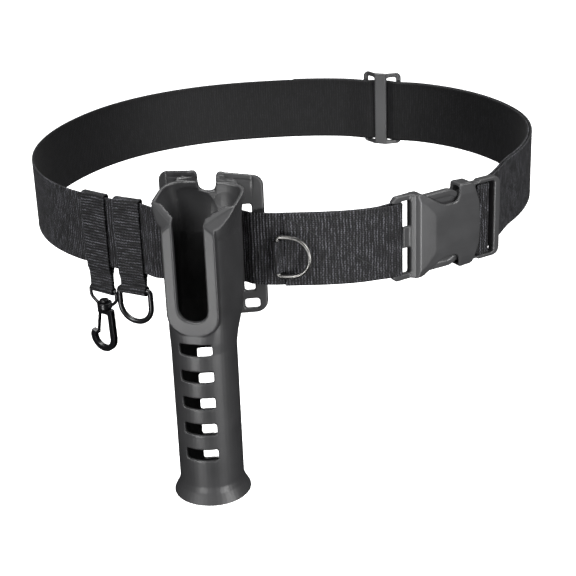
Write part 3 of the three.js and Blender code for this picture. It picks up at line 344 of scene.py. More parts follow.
def grid_faces(rows, columns, wrap_rows=False, wrap_columns=False):
    """Quads of a grid of rows by columns of points, closed round either way where asked."""
    r = np.arange(rows if wrap_rows else rows - 1)
    c = np.arange(columns if wrap_columns else columns - 1)
    r, c = np.meshgrid(r, c, indexing="ij")
    next_r, next_c = (r + 1) % rows, (c + 1) % columns
    quads = [r * columns + c, r * columns + next_c, next_r * columns + next_c, next_r * columns + c]
    return np.stack(quads, axis=-1).reshape(-1, 4)


def make_mesh(name, points, faces, uv=None, inner=None):
    """A mesh object from arrays: points in mm, faces of four, and each point's uv in mm and inner share."""
    mesh = bpy.data.meshes.new(name)
    faces = np.asarray(faces)
    mesh.vertices.add(len(points))
    mesh.vertices.foreach_set("co", (np.asarray(points, float) * MM).ravel())
    sides = faces.shape[1]
    mesh.loops.add(faces.size)
    mesh.loops.foreach_set("vertex_index", faces.ravel().astype(np.int32))
    mesh.polygons.add(len(faces))
    mesh.polygons.foreach_set("loop_start", np.arange(0, faces.size, sides, dtype=np.int32))
    if uv is not None:
        layer = mesh.uv_layers.new(name="cloth")
        layer.data.foreach_set("uv", np.asarray(uv, float)[faces.ravel()].ravel())
    if inner is not None:
        mesh.attributes.new("inner", "FLOAT", "POINT").data.foreach_set("value", np.asarray(inner, float))
    mesh.polygons.foreach_set("use_smooth", np.full(len(faces), True))
    mesh.update(calc_edges=True)
    mesh.validate()
    piece = bpy.data.objects.new(name, mesh)
    bpy.context.scene.collection.objects.link(piece)
    return piece


def finish_piece(piece, material, body="belt", replaces=()):
    """Gives a piece its material, its body and the CAD nodes that it stands for."""
    piece.data.materials.clear()
    piece.data.materials.append(material)
    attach(piece, body)
    if replaces:
        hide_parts(*replaces)
    return piece


def modified(piece, *modifiers):
    """Applies modifiers to a piece at once: each is (type, settings)."""
    for kind, settings in modifiers:
        modifier = piece.modifiers.new(kind.title(), kind)
        for key, value in settings.items():
            setattr(modifier, key, value)
    graph = bpy.context.evaluated_depsgraph_get()
    mesh = bpy.data.meshes.new_from_object(piece.evaluated_get(graph))
    piece.modifiers.clear()
    piece.data = mesh
    return piece


# The belt's path, worked out as the part does


def station(name):
    """(origin, heading, straight half length) of a place on the route, in mm."""
    rows = {row[0]: row for row in ROUTE}
    if name == "hook_hanger":
        ring = rows["ring_hanger"]
        way = heading((rows[name][3] + ring[3]) / 2)
        origin = np.array([ring[1] * LOOP_WIDTH, ring[2] * LOOP_DEPTH]) - HANGER_PITCH * way
    else:
        origin = np.array([rows[name][1] * LOOP_WIDTH, rows[name][2] * LOOP_DEPTH])
    return origin, rows[name][3], rows[name][4]


BUCKLE = (np.array([SOCKET_PLACE[0] * LOOP_WIDTH, SOCKET_PLACE[1] * LOOP_DEPTH]), BUCKLE_HEADING)


def in_plan(place, along, out):
    """A point of a fitting's own frame, moved into the belt's plan."""
    way = heading(place[1])
    along, out = np.asarray(along, float), np.asarray(out, float)
    return place[0] + along[..., None] * way + out[..., None] * outward(way)


def along_frame(place, points):
    """How far along a fitting's frame each point lies."""
    return (points - place[0]) @ heading(place[1])


def stretch(start, end):
    """A cubic Bezier between two frames, with handles of chord / (3 cos^2(turn / 4))."""
    a = in_plan(start, start[2] if len(start) > 2 else 0.0, 0.0)
    b = in_plan(end, -end[2] if len(end) > 2 else 0.0, 0.0)
    chord = np.linalg.norm(b - a)
    handle = chord / (3 * math.cos(math.radians(abs(end[1] - start[1]) / 4)) ** 2)
    t = np.linspace(0, 1, max(int(chord / 1.5), 6))[:, None]
    p1, p2 = a + handle * heading(start[1]), b - handle * heading(end[1])
    return (1 - t) ** 3 * a + 3 * (1 - t) ** 2 * t * p1 + 3 * (1 - t) * t**2 * p2 + t**3 * b


def through(frames):
    """The stretches between neighbouring frames, and the straight runs at them."""
    pieces = []
    for start, end in zip(frames[:-1], frames[1:]):
        pieces.append(stretch(start, end)[1:] if pieces else stretch(start, end))
        if end[2] > 0:
            runs = np.linspace(-end[2], end[2], int(end[2] * 2 / 0.8))[1:]
            pieces.append(in_plan(end, runs, np.zeros(len(runs))))
    return np.concatenate(pieces)


def belt_shift(points):
    """How far out the belt lies at the holder's plate and at the slider's bars."""
    x = np.abs(along_frame(station("holder"), points))
    slope = math.tan(PLATE_SWEEP)
    clear = PLATE_HALF_THICKNESS / math.cos(PLATE_SWEEP) + GAP + WEB_THICKNESS / 2
    behind = PLATE_OUT - (BELT_SLOT[0] - PLATE_BEND) * slope - clear
    before = PLATE_OUT - (BELT_SLOT[1] - PLATE_BEND) * slope + clear
    holder = behind + (before - behind) * smooth(x, BELT_SLOT[0] - GAP, BELT_SLOT[1] + GAP)
    holder = holder * (1 - smooth(x, PLATE_HALF_WIDTH, PLATE_HALF_WIDTH + EASE))

    x = np.abs(along_frame(station("slider"), points))
    middle = LAYER_PITCH / 2
    over = middle - SLIDER_JOGGLE + SLIDER_HALF_THICKNESS + GAP + WEB_THICKNESS / 2
    under = middle + SLIDER_JOGGLE - SLIDER_HALF_THICKNESS - GAP - WEB_THICKNESS / 2 - LAYER_PITCH
    slider = over + (under - over) * smooth(x, SLIDER_BAR_EDGE, SLIDER_SLOT_EDGE)
    slider = slider * (1 - smooth(x, SLIDER_END, SLIDER_END + EASE))
    return np.where(points[:, 1] > 0, slider, holder)


def shifted(line, shift):
    """A line moved out of the belt by an amount for each point."""
    return line + outward(ways_of(line)) * np.reshape(shift, (-1, 1))


def cut_to(line, length):
    """The first stretch of a line, of a given length."""
    run = lengths(line)
    keep = line[run < length]
    last = np.array([np.interp(length, run, line[:, i]) for i in range(2)])
    return np.vstack([keep, last])


def fold_shift(points, sign):
    """Layers part from flat to the fold's radius near the socket's sewn bar."""
    start = LAYER_PITCH if sign > 0 else 0.0
    end = LAYER_PITCH / 2 + sign * FOLD_RADIUS
    return start + (end - start) * smooth(along_frame(BUCKLE, points), -EASE, -1.0)


def prong_wrap():
    """The strap round the prong frame's bar, in the buckle's frame, with arcs at its corners."""
    bar_x, bar_out = PRONG_BAR
    reach = PRONG_BAR_HALF_WIDTH + GAP + WEB_THICKNESS / 2
    top = bar_out + FOLD_RADIUS
    outer = bar_out - 2 * BAR_HALF_THICKNESS - GAP - WEB_THICKNESS / 2
    inner = outer - LAYER_PITCH
    turn = math.radians(STRAP_BEND_DEGREES)
    bend = bar_x + reach + STRAP_BEND
    bend_in = bend - LAYER_PITCH * math.tan(turn / 2)
    tight, wide, run = 2.0, 4.0, 9.0
    corners = [
        (bend + run * math.cos(turn), outer - run * math.sin(turn)),
        (bend, outer, wide),
        (bar_x + reach, outer, tight),
        (bar_x + reach, top, tight),
        (bar_x - reach, top, tight),
        (bar_x - reach, inner, tight),
        (bend_in, inner, wide),
        (bend_in + run * math.cos(turn), inner - run * math.sin(turn)),
    ]
    local = rounded(corners)
    return in_plan(BUCKLE, local[:, 0], local[:, 1])


def strap_lines():
    """The tail, the prong wrap, the main layer, the socket's turn and the sewn end, in plan and in mm."""
    wrap = prong_wrap()
    leave = (wrap[-1], STRAP_LEAVES, 0.0)
    route = through([leave] + [station(row[0]) for row in ROUTE])
    entry = (in_plan(BUCKLE, -1.0, 0.0), BUCKLE_HEADING, 0.0)
    last = stretch(station("steel_ring"), entry)

    main = np.vstack([shifted(route, belt_shift(route)), shifted(last, fold_shift(last, -1))[1:]])
    outer = shifted(route, belt_shift(route) + LAYER_PITCH)
    slider = station("slider")
    at = np.argmin(np.abs(along_frame(slider, outer)) + np.linalg.norm(outer - slider[0], axis=1))
    tail = cut_to(outer, lengths(outer)[at] + SLIDER_TAIL)[::-1]
    turn = np.radians(np.linspace(-90, 90, 13))
    across = LAYER_PITCH / 2 + FOLD_RADIUS * np.sin(turn)
    turn = in_plan(BUCKLE, FOLD_CENTRE + FOLD_RADIUS * np.cos(turn), across)
    back = np.vstack([last[::-1], route[::-1][1:]])
    sewn = cut_to(back, SEWN_END)[::-1]
    sewn = shifted(sewn, fold_shift(sewn, 1))[::-1]
    return tail, wrap[1:-1], main, turn[1:-1], sewn


# Surfaces


def band_profile(width, thickness, selvage=0.16):
    """A woven band's section as (out, across): flat faces, round edges, and a slightly thicker selvage.

    The second half is the first half turned half a turn about the middle.
    """
    half, deep = width / 2, thickness / 2
    face = deep * 0.96 - 0.04
    bend = np.linspace(-np.pi / 2, np.pi / 2, 7)
    edge = np.stack([deep * np.sin(bend) * 0.96, half - deep * 0.8 + deep * 0.8 * np.cos(bend)], axis=1)
    lift = np.array([0.0, selvage, selvage]) / 2
    upper = np.stack([face + lift, [half - 2.6, half - 1.9, half - 1.3]], axis=1)
    side = np.concatenate([upper * [-1, 1], edge, upper[::-1]])
    flat = np.stack([np.full(9, face), np.linspace(half - 5, -half + 5, 9)], axis=1)
    return np.concatenate([side, flat, -side, -flat])


def sweep_band(line, across, normals, profile):
    """A section carried along a line: each point is point + out * normal + across * width direction."""
    out = profile[None, :, 0, None] * normals[:, None, :]
    wide = profile[None, :, 1, None] * np.asarray(across, float)[None, None, :]
    points = (line[:, None, :] + out + wide).reshape(-1, 3)
    rows, columns = len(line), len(profile)
    run = lengths(line)
    uv = np.stack([np.repeat(run, columns), np.tile(profile[:, 1], rows)], axis=1)
    faces = grid_faces(rows, columns, wrap_columns=True)
    caps = []
    for row, flip in ((0, True), (rows - 1, False)):
        ring = np.arange(columns) + row * columns
        half = columns // 2
        a, b = ring[:half], ring[half:][::-1]
        quads = np.stack([a[:-1], a[1:], b[1:], b[:-1]], axis=1)
        caps.append(quads[:, ::-1] if flip else quads)
    return points, np.concatenate([faces] + caps), uv


def closed_tube(path, radius, across, sides=18):
    """A round wire along a closed path, with side as the cross product of the tangent and across.

    Each point is path + radius * (cos a * side + sin a * across).
    """
    step = np.roll(path, -1, axis=0) - np.roll(path, 1, axis=0)
    step /= np.linalg.norm(step, axis=1, keepdims=True)
    side = np.cross(step, across)
    angles = np.linspace(0, 2 * np.pi, sides, endpoint=False)
    ring = np.cos(angles)[None, :, None] * side[:, None, :] + np.sin(angles)[None, :, None] * across
    points = (path[:, None, :] + radius * ring).reshape(-1, 3)
    return points, grid_faces(len(path), sides, wrap_rows=True, wrap_columns=True)


def stitches(starts, ends, normals, size, lift=0.15, sink=0.12):
    """Short threads: each is bent like a low bridge, its middle lifted and its ends sunk, both in mm."""
    t = np.linspace(0.04, 0.96, 6)
    rise = lift * np.sin(np.pi * t) - sink
    fat = size / 2 * np.sqrt(np.clip(1 - (2 * t - 1) ** 6, 0.12, 1))
    along = ends - starts
    way = along / np.linalg.norm(along, axis=1, keepdims=True)
    side = np.cross(way, normals)
    angles = np.linspace(0, 2 * np.pi, 6, endpoint=False)
    centre = starts[:, None, None] + along[:, None, None] * t[None, :, None, None]
    centre = centre + normals[:, None, None] * rise[None, :, None, None]
    ring = np.cos(angles)[None, None, :, None] * side[:, None, None]
    ring = ring + np.sin(angles)[None, None, :, None] * normals[:, None, None]
    points = centre + ring * fat[None, :, None, None]
    one = grid_faces(6, 6, wrap_columns=True)
    caps = np.array([[3, 2, 1, 0], [5, 4, 3, 0], [30, 31, 32, 33], [30, 33, 34, 35]])
    one = np.concatenate([one, caps])
    faces = (one[None] + 36 * np.arange(len(starts))[:, None, None]).reshape(-1, 4)
    return points.reshape(-1, 3), faces


# Materials


def surface(name):
    """A new material with its principled shader and its texture coordinates."""
    made = bpy.data.materials.new(name)
    made.use_nodes = True
    tree = made.node_tree
    shader = tree.nodes["Principled BSDF"]
    where = node(tree, "ShaderNodeTexCoord")
    return made, tree, shader, where


def ramp(tree, factor, colour, stops):
    """A ramp of one colour's darker and lighter tones, from (position, brightness) stops."""
    made = node(tree, "ShaderNodeValToRGB", {"Fac": factor})
    for index, (position, brightness) in enumerate(stops):
        spot = made.color_ramp.elements[index] if index < 2 else made.color_ramp.elements.new(position)
        spot.position = position
        spot.color = (*(min(c * brightness, 1.0) for c in linear(colour)[:3]), 1.0)
    return made.outputs["Color"]


def cloud(tree, vector, scale, detail, roughness=0.5):
    """A noise texture's factor."""
    settings = {"Vector": vector, "Scale": scale, "Detail": detail, "Roughness": roughness}
    return node(tree, "ShaderNodeTexNoise", settings).outputs["Fac"]


def mapped(tree, value, before, after):
    """A value carried from one range to another."""
    ends = {"From Min": before[0], "From Max": before[1], "To Min": after[0], "To Max": after[1]}
    return node(tree, "ShaderNodeMapRange", {"Value": value, **ends}).outputs["Result"]


def bumped(tree, shader, height, distance, strength):
    """Bumps a shader's surface by a height, with the distance in metres."""
    bump = node(tree, "ShaderNodeBump", {"Height": height, "Distance": distance, "Strength": strength})
    tree.links.new(bump.outputs["Normal"], shader.inputs["Normal"])


def maths(tree, operation, a, b=0.0, c=0.0):
    """One Math node's output."""
    return node(tree, "ShaderNodeMath", {0: a, 1: b, 2: c}, operation=operation).outputs[0]


def polyester_webbing(name, colour, rib, thread):
    """Woven polyester webbing: painted highlights in its base colour, short broken streaks of light on its
    ribs, with near black gaps between them.

    The face next to the body is ironed flatter, so its ribs hardly show: there its painted highlights and its
    bumps are cut to a fifth. The ribs are drawn coarser than the real ones, which are too fine to see at this
    distance.
    """
    made, tree, shader, where = surface(name)
    split = node(tree, "ShaderNodeSeparateXYZ", {0: where.outputs["UV"]})
    along, across = split.outputs["X"], split.outputs["Y"]
    drawn_out = maths(tree, "MULTIPLY", across, 0.14)
    flat = node(tree, "ShaderNodeCombineXYZ", {"X": along, "Y": drawn_out}).outputs[0]
    streak = cloud(tree, flat, 0.7, 2.0, 0.7)
    speck = cloud(tree, where.outputs["UV"], 0.95, 1.0)
    drift = cloud(tree, where.outputs["UV"], 0.05, 2.0)
    run = maths(tree, "MULTIPLY_ADD", drift, rib * 1.2, along)
    # Alternate warp threads are a little out of step, as in a plain weave
    row = maths(tree, "FLOOR", maths(tree, "DIVIDE", across, thread))
    odd = maths(tree, "MODULO", maths(tree, "ABSOLUTE", row), 2.0)
    odd = maths(tree, "MULTIPLY", odd, 0.16 * rib)
    phase = maths(tree, "MULTIPLY", maths(tree, "ADD", run, odd), 2 * math.pi / rib)
    crest = maths(tree, "MULTIPLY_ADD", maths(tree, "COSINE", phase), 0.5, 0.5)
    warp = maths(tree, "MULTIPLY", across, 2 * math.pi / thread)
    warp = maths(tree, "MULTIPLY_ADD", maths(tree, "COSINE", warp), 0.5, 0.5)
    weave = maths(tree, "MULTIPLY", crest, maths(tree, "MULTIPLY_ADD", warp, 0.35, 0.65))
    # Painted highlights: noise breaks the rib crests into bright streaks and sparkles in the base colour
    painted_glint = mapped(tree, streak, (0.4, 0.6), (0.3, 1.0))
    painted_sparkle = mapped(tree, speck, (0.34, 0.68), (0.6, 1.3))
    light = maths(tree, "MULTIPLY", maths(tree, "MULTIPLY", weave, painted_glint), painted_sparkle)
    light = maths(tree, "POWER", light, 1.3)
    inner = node(tree, "ShaderNodeAttribute", attribute_name="inner")
    quiet = maths(tree, "MULTIPLY_ADD", inner.outputs["Fac"], -0.8, 1.0)
    light = maths(tree, "MULTIPLY", light, quiet)
    # The ramp paints these highlights at up to fifteen times the webbing's colour
    tint = ramp(tree, light, colour, ((0.02, 0.35), (0.3, 2.4), (0.85, 15.0)))
    tree.links.new(tint, shader.inputs["Base Color"])
    height = maths(tree, "MULTIPLY", maths(tree, "MULTIPLY_ADD", speck, 0.6, weave), quiet)
    bumped(tree, shader, height, 0.0005, 1.0)
    shader.inputs["Roughness"].default_value = 0.6
    shader.inputs["Specular IOR Level"].default_value = 0.28
    shader.inputs["Sheen Weight"].default_value = 0.03
    shader.inputs["Sheen Roughness"].default_value = 0.5
    return made


def moulded_plastic(name, colour, gloss, grain=0.06):
    """Injection-moulded plastic: a faint grain softens its gloss, and cloudy patches make it look handled."""
    made, tree, shader, where = surface(name)
    patches = cloud(tree, where.outputs["Object"], 45.0, 4.0)
    tint = ramp(tree, patches, colour, ((0.3, 0.88), (0.7, 1.12)))
    tree.links.new(tint, shader.inputs["Base Color"])
    rough = mapped(tree, patches, (0.0, 1.0), (gloss - 0.05, gloss + 0.07))
    tree.links.new(rough, shader.inputs["Roughness"])
    bumped(tree, shader, cloud(tree, where.outputs["Object"], 700.0, 3.0), 0.00006, grain * 5)
    shader.inputs["IOR"].default_value = 1.53
    return made


def drawn_steel(name, colour):
    """Plated drawn steel wire: bright, with its highlight broken up by fine scratches."""
    made, tree, shader, where = surface(name)
    scratch = cloud(tree, where.outputs["Object"], 500.0, 4.0)
    tree.links.new(mapped(tree, scratch, (0.0, 1.0), (0.22, 0.42)), shader.inputs["Roughness"])
    bumped(tree, shader, scratch, 0.00004, 0.3)
    shader.inputs["Base Color"].default_value = linear(colour)
    shader.inputs["Metallic"].default_value = 1.0
    return made


def cloth_finish():
    """The webbing's material, made once."""
    settings = bpy.context.scene.belt_settings
    found = bpy.data.materials.get("Woven polyester webbing")
    return found or polyester_webbing(
        "Woven polyester webbing", settings.webbing_colour, settings.rib_pitch, settings.thread_pitch
    )


def thread_finish():
    """The sewing thread's material, made once."""
    found = bpy.data.materials.get("Bonded nylon thread")
    return found or moulded_plastic(
        "Bonded nylon thread", bpy.context.scene.belt_settings.thread_colour, 0.5, grain=0.2
    )


def moulding_finish(name, colour, gloss):
    """A plastic's material, made once."""
    return bpy.data.materials.get(name) or moulded_plastic(name, colour, gloss)


# Pieces


def moulded_copy(name, cad, cell, smoothing):
    """A CAD node's copy, merged, remeshed to even cells and relaxed at its edges."""
    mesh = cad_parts[cad].data.copy()
    mesh.materials.clear()
    work = bmesh.new()
    work.from_mesh(mesh)
    bmesh.ops.remove_doubles(work, verts=work.verts, dist=1e-6)
    work.to_mesh(mesh)
    work.free()
    for attribute in [a.name for a in mesh.attributes if a.name in ("custom_normal", "sharp_face")]:
        mesh.attributes.remove(mesh.attributes[attribute])
    piece = bpy.data.objects.new(name, mesh)
    bpy.context.scene.collection.objects.link(piece)
    modified(
        piece,
        ("REMESH", {"mode": "VOXEL", "voxel_size": cell * MM, "use_smooth_shade": True}),
        ("SMOOTH", {"factor": 0.5, "iterations": smoothing}),
    )
    return piece


class BELT_OT_webbing(bpy.types.Operator):
    """Make the one continuous strap with its folds, layers and sewn end"""

    bl_idname = "belt.webbing"
    bl_label = "Webbing"

    def execute(self, context):
        lines = strap_lines()
        whole = np.concatenate(lines)
        step = np.linalg.norm(np.diff(whole, axis=0), axis=1)
        whole = whole[np.concatenate([[True], step > 1e-6])]
        line = resample(whole, BAND_STEP)
        out = outward(ways_of(line))
        profile = band_profile(WEB_WIDTH, WEB_THICKNESS)
        path, normals = (np.column_stack([plan, np.zeros(len(line))]) for plan in (line, out))
        turned_out = np.sum(out * line, axis=1) > 0
        inner = ((profile[:, 0] < 0) == turned_out[:, None]).ravel()
        piece = make_mesh("webbing_strap", *sweep_band(path, (0, 0, 1), normals, profile), inner)
        finish_piece(piece, cloth_finish(), replaces=["belt_webbing"])
        return {"FINISHED"}


class BELT_OT_stitching(bpy.types.Operator):
    """Sew the end of the strap with a box, its crossing diagonals and an end row"""

    bl_idname = "belt.stitching"
    bl_label = "Stitching"

    def execute(self, context):
        settings = context.scene.belt_settings
        sewn = strap_lines()[4]
        run = lengths(sewn)
        near, far = SEWN_BOX_START, SEWN_END - SEWN_BOX_MARGIN
        low, high = -SEWN_BOX_HALF_HEIGHT, SEWN_BOX_HALF_HEIGHT
        paths = [
            [(near, low), (far, low)],
            [(near, high), (far, high)],
            [(near, low), (near, high)],
            [(far, low), (far, high)],
            [(near, low), (far, high)],
            [(near, high), (far, low)],
            [(near - END_ROW_GAP, low - END_ROW_REACH), (near - END_ROW_GAP, high + END_ROW_REACH)],
        ]
        starts, ends = [], []
        for a, b in paths:
            a, b = np.array(a), np.array(b)
            count = int(round(np.linalg.norm(b - a) / settings.stitch_length))
            edges = a + (b - a) * np.linspace(0, 1, count + 1)[:, None]
            starts.append(edges[:-1])
            ends.append(edges[1:])
        starts, ends = np.concatenate(starts), np.concatenate(ends)
        normals = outward(ways_of(sewn[::-1]))[::-1]

        def on_strap(flat):
            base = np.stack([np.interp(flat[:, 0], run, sewn[:, i]) for i in range(2)], axis=1)
            out = np.stack([np.interp(flat[:, 0], run, normals[:, i]) for i in range(2)], axis=1)
            return np.column_stack([base + out * (WEB_THICKNESS / 2), flat[:, 1]]), out

        a, out = on_strap(starts)
        b, _ = on_strap(ends)
        normal = np.column_stack([out, np.zeros(len(out))])
        normal /= np.linalg.norm(normal, axis=1, keepdims=True)
        piece = make_mesh("sewn_end_stitches", *stitches(a, b, normal, settings.thread_size))
        finish_piece(piece, thread_finish())
        return {"FINISHED"}


def tape_loop(length, bar):
    """A tape loop's closed middle line as (out, height): round the belt, then round a bar below it."""
    ease = WEB_THICKNESS / 2 + TAPE_PLAY + TAPE_THICKNESS / 2
    top = WEB_WIDTH / 2 + TAPE_PLAY + TAPE_THICKNESS / 2
    eye, low = bar / 2 + GAP + TAPE_THICKNESS / 2, -WEB_WIDTH / 2 - length
    above, below, tight, middle, wide = 1.5 * eye, 5.0, 1.2, 1.4, 4.0
    side = [
        (TAPE_HALF_NECK, low + above, tight),
        (TAPE_HALF_NECK, -top - below, wide),
        (ease, -top, wide),
        (ease, top, middle),
    ]
    upper = rounded(side + [(-x, z, radius) for x, z, radius in reversed(side)])
    start = math.degrees(math.asin(min(TAPE_HALF_NECK / eye, 1.0)))
    angles = np.radians(np.linspace(90 + start, 450 - start, 25))
    fold = np.stack([eye * np.cos(angles), low + eye * np.sin(angles)], axis=1)
    line = np.vstack([upper, fold])
    return resample(np.vstack([line, line[:1]]), 0.7)[:-1]


def tape_surface(section, place):
    """The tape's section carried round its closed middle line, in the frame of its place on the belt."""
    way, out = heading(place[1]), outward(heading(place[1]))
    centre = np.column_stack([place[0] + section[:, :1] * out, section[:, 1]])
    step = np.roll(section, -1, axis=0) - np.roll(section, 1, axis=0)
    step /= np.linalg.norm(step, axis=1, keepdims=True)
    normals = np.column_stack([step[:, 1:] * out, -step[:, 0]])
    profile = band_profile(TAPE_WIDTH, TAPE_THICKNESS, selvage=0.1)
    points = centre[:, None, :] + profile[None, :, 0, None] * normals[:, None, :]
    points = points + profile[None, :, 1, None] * np.append(way, 0.0)
    run = lengths(np.vstack([section, section[:1]]))[:-1]
    uv = np.stack([np.repeat(run, len(profile)), np.tile(profile[:, 1], len(section))], axis=1)
    faces = grid_faces(len(section), len(profile), wrap_rows=True, wrap_columns=True)[:, ::-1]
    return points.reshape(-1, 3), faces, uv


def tape_stitches(place, length, size):
    """Two rows of stitches across each face of a tape loop, just above its fold."""
    way, out = heading(place[1]), outward(heading(place[1]))
    count = int(TAPE_WIDTH / TAPE_STITCH)
    reach = TAPE_WIDTH / 2 - TAPE_MARGIN
    x = np.linspace(-reach, reach, count + 1)
    starts, ends, outs = [], [], []
    for rise in TAPE_ROWS:
        for side in (1.0, -1.0):
            base = place[0] + x[:, None] * way + side * (TAPE_HALF_NECK + TAPE_THICKNESS / 2) * out
            line = np.column_stack([base, np.full(len(x), rise - WEB_WIDTH / 2 - length)])
            starts.append(line[:-1])
            ends.append(line[1:])
            outs.append(np.tile(np.append(side * out, 0.0), (count, 1)))
    return stitches(np.concatenate(starts), np.concatenate(ends), np.concatenate(outs), size)


class BELT_OT_hangers(bpy.types.Operator):
    """Make the two tape loops round the belt, with their rows of stitching"""

    bl_idname = "belt.hangers"
    bl_label = "Hangers"

    def execute(self, context):
        size = context.scene.belt_settings.thread_size
        for name, cad, (length, bar) in (
            ("hook_tape_loop", "hook_hanger", HOOK_LOOP),
            ("ring_tape_loop", "ring_hanger", RING_LOOP),
        ):
            place = station(cad)
            loop = make_mesh(name, *tape_surface(tape_loop(length, bar), place))
            finish_piece(loop, cloth_finish(), replaces=[cad])
            thread = make_mesh(name + "_stitches", *tape_stitches(place, length, size))
            finish_piece(thread, thread_finish())
        return {"FINISHED"}


def ring_place():
    """The steel ring's frame: just past the sewn end's raw edge, as the part has it."""
    sewn = strap_lines()[4]
    way = sewn[-2] - sewn[-1]
    way = way / np.linalg.norm(way)
    origin = sewn[-1] - way * (RING_PAST_END + GAP) - outward(way) * LAYER_PITCH
    return origin, math.degrees(math.atan2(way[1], way[0]))


class BELT_OT_steel_ring(bpy.types.Operator):
    """Make the D-shaped steel ring and the tape tab that holds it"""

    bl_idname = "belt.steel_ring"
    bl_label = "Steel ring"

    def execute(self, context):
        colours = context.scene.moulding_settings
        place = ring_place()
        way, out = heading(place[1]), outward(heading(place[1]))
        far = LAYER_PITCH + WEB_THICKNESS / 2 + GAP + RING_WIRE
        bow, high = RING_HEIGHT / 2, RING_LOW + RING_HEIGHT
        corners = [
            (0.0, RING_LOW, RING_CORNER),
            (RING_STRAIGHT + bow, RING_LOW, bow * BOW_ROUND),
            (RING_STRAIGHT + bow, high, bow * BOW_ROUND),
            (0.0, high, RING_CORNER),
        ]
        closing = [[0.0, RING_LOW + RING_CORNER]]
        flat = resample(np.vstack([rounded(corners, True, 16), closing]), BAND_STEP)[:-1]
        base = place[0] + flat[:, :1] * (math.cos(RING_TILT) * way + math.sin(RING_TILT) * out) + far * out
        path = np.column_stack([base, flat[:, 1]])
        face = np.append(math.cos(RING_TILT) * out - math.sin(RING_TILT) * way, 0.0)
        ring = make_mesh("drawn_steel_ring", *closed_tube(path, RING_WIRE, face))
        steel = drawn_steel("Plated steel wire", colours.steel_colour)
        finish_piece(ring, steel, replaces=["steel_ring"])

        wrap = RING_WIRE + GAP + TAB_HALF_THICKNESS
        base_out = WEB_THICKNESS / 2 + GAP + TAB_HALF_THICKNESS
        angles = np.radians(np.linspace(90, 270, 15))
        arc = np.stack([wrap * np.cos(angles), far + wrap * np.sin(angles)], axis=1)
        slope = [[TAB_REACH, base_out + 1.15], [1.6, base_out + 2.0]]
        section = resample(np.vstack([slope, arc, [[TAB_REACH, base_out]]]), 0.5)
        centre = place[0] + section[:, :1] * way + section[:, 1:] * out
        line = np.column_stack([centre, np.full(len(centre), TAB_MIDDLE)])
        step = ways_of(section)
        normals = np.column_stack([step[:, 1:] * way - step[:, :1] * out, np.zeros(len(step))])
        profile = band_profile(TAB_WIDTH, 2 * TAB_HALF_THICKNESS, selvage=0.05)
        points, faces, uv = sweep_band(line, (0, 0, 1), normals, profile)
        tab = make_mesh("ring_tape_tab", points, faces, uv)
        finish_piece(tab, cloth_finish(), replaces=["ring_tab"])
        return {"FINISHED"}


class BELT_OT_plastic_ring(bpy.types.Operator):
    """Make the D-shaped plastic ring in the shorter loop"""

    bl_idname = "belt.plastic_ring"
    bl_label = "Plastic ring"

    def execute(self, context):
        place = station("ring_hanger")
        way, out = heading(place[1]), outward(heading(place[1]))
        half, top = LOOP_RING_HALF_WIDTH, -WEB_WIDTH / 2 - RING_LOOP[0]
        low = top - LOOP_RING_STRAIGHT - half
        sides = [(-half, top, 2.4), (-half, low, half * BOW_ROUND)]
        flat = rounded(sides + [(-x, z, radius) for x, z, radius in reversed(sides)], True, 16)
        flat = resample(np.vstack([flat, flat[:1]]), BAND_STEP)[:-1]
        path = np.column_stack([place[0] + flat[:, :1] * way, flat[:, 1]])
        ring = make_mesh("moulded_ring", *closed_tube(path, RING_LOOP[1] / 2, np.append(out, 0.0)))
        finish = moulding_finish("Moulded acetal", context.scene.moulding_settings.hook_colour, 0.3)
        finish_piece(ring, finish, replaces=["hanger_ring"])
        return {"FINISHED"}


def press_holder(points):
    """The holder's softer forms, as moves of its points (along, out, z) in its own frame.

    Hollows in the mouth's back wall are depth * (1 - r^2)^power deep, with r = 1 at their rims. The plate's
    top corners have a groove along their fold and one below their top edge, each a bell curve across.
    """
    x, out, z = points.T
    hollow = np.zeros(len(x))
    for along, up, half_width, half_height, depth, power in HOLLOWS:
        r2 = ((x - along) / half_width) ** 2 + ((z - up) / half_height) ** 2
        hollow += depth * np.clip(1 - r2, 0, 1) ** power
    back_wall = (out > HOLLOW_OUT[0]) & (out < HOLLOW_OUT[1]) & (np.abs(x) < HOLLOW_REACH)
    out = out - np.where(back_wall, hollow, 0.0)

    fold_x, notch_x, edge_drop, groove = 28.4, 9.5, 3.4, 0.5
    back = np.maximum(np.abs(x) - PLATE_BEND, 0.0) * math.tan(PLATE_SWEEP)
    front = (out + back > 4.2) & (out < 6.0)
    fold = np.exp(-(((np.abs(x) - fold_x) / 0.55) ** 2)) * (z > 40.5)
    edge_z = 53.0 - 5.0 * np.clip((np.abs(x) - 6.2) / 28.6, 0, 1) - edge_drop
    edge = np.exp(-(((z - edge_z) / groove) ** 2)) * (np.abs(x) > notch_x) * (np.abs(x) < fold_x)
    out = out - np.where(front, groove * np.maximum(fold, edge), 0.0)
    return np.column_stack([x, out, z])


class BELT_OT_rod_holder(bpy.types.Operator):
    """Make the rod holder's moulded body with softened edges and the bowl in its mouth"""

    bl_idname = "belt.rod_holder"
    bl_label = "Rod holder"

    def execute(self, context):
        settings = context.scene.moulding_settings
        station_out = -station("holder")[0][1]
        holder = moulded_copy("moulded_rod_holder", "rod_holder", settings.holder_cell, 5)
        flat = np.empty(len(holder.data.vertices) * 3)
        holder.data.vertices.foreach_get("co", flat)
        points = flat.reshape(-1, 3) / MM
        own = np.column_stack([points[:, 0], -points[:, 1] - station_out, points[:, 2]])
        own = press_holder(own)
        points = np.column_stack([own[:, 0], -own[:, 1] - station_out, own[:, 2]])
        holder.data.vertices.foreach_set("co", (points * MM).ravel())
        holder.data.update()
        modified(holder, ("DECIMATE", {"ratio": HOLDER_KEEP}))
        finish = moulding_finish("Moulded polypropylene", settings.holder_colour, 0.42)
        finish_piece(holder, finish, replaces=["rod_holder"])
        return {"FINISHED"}


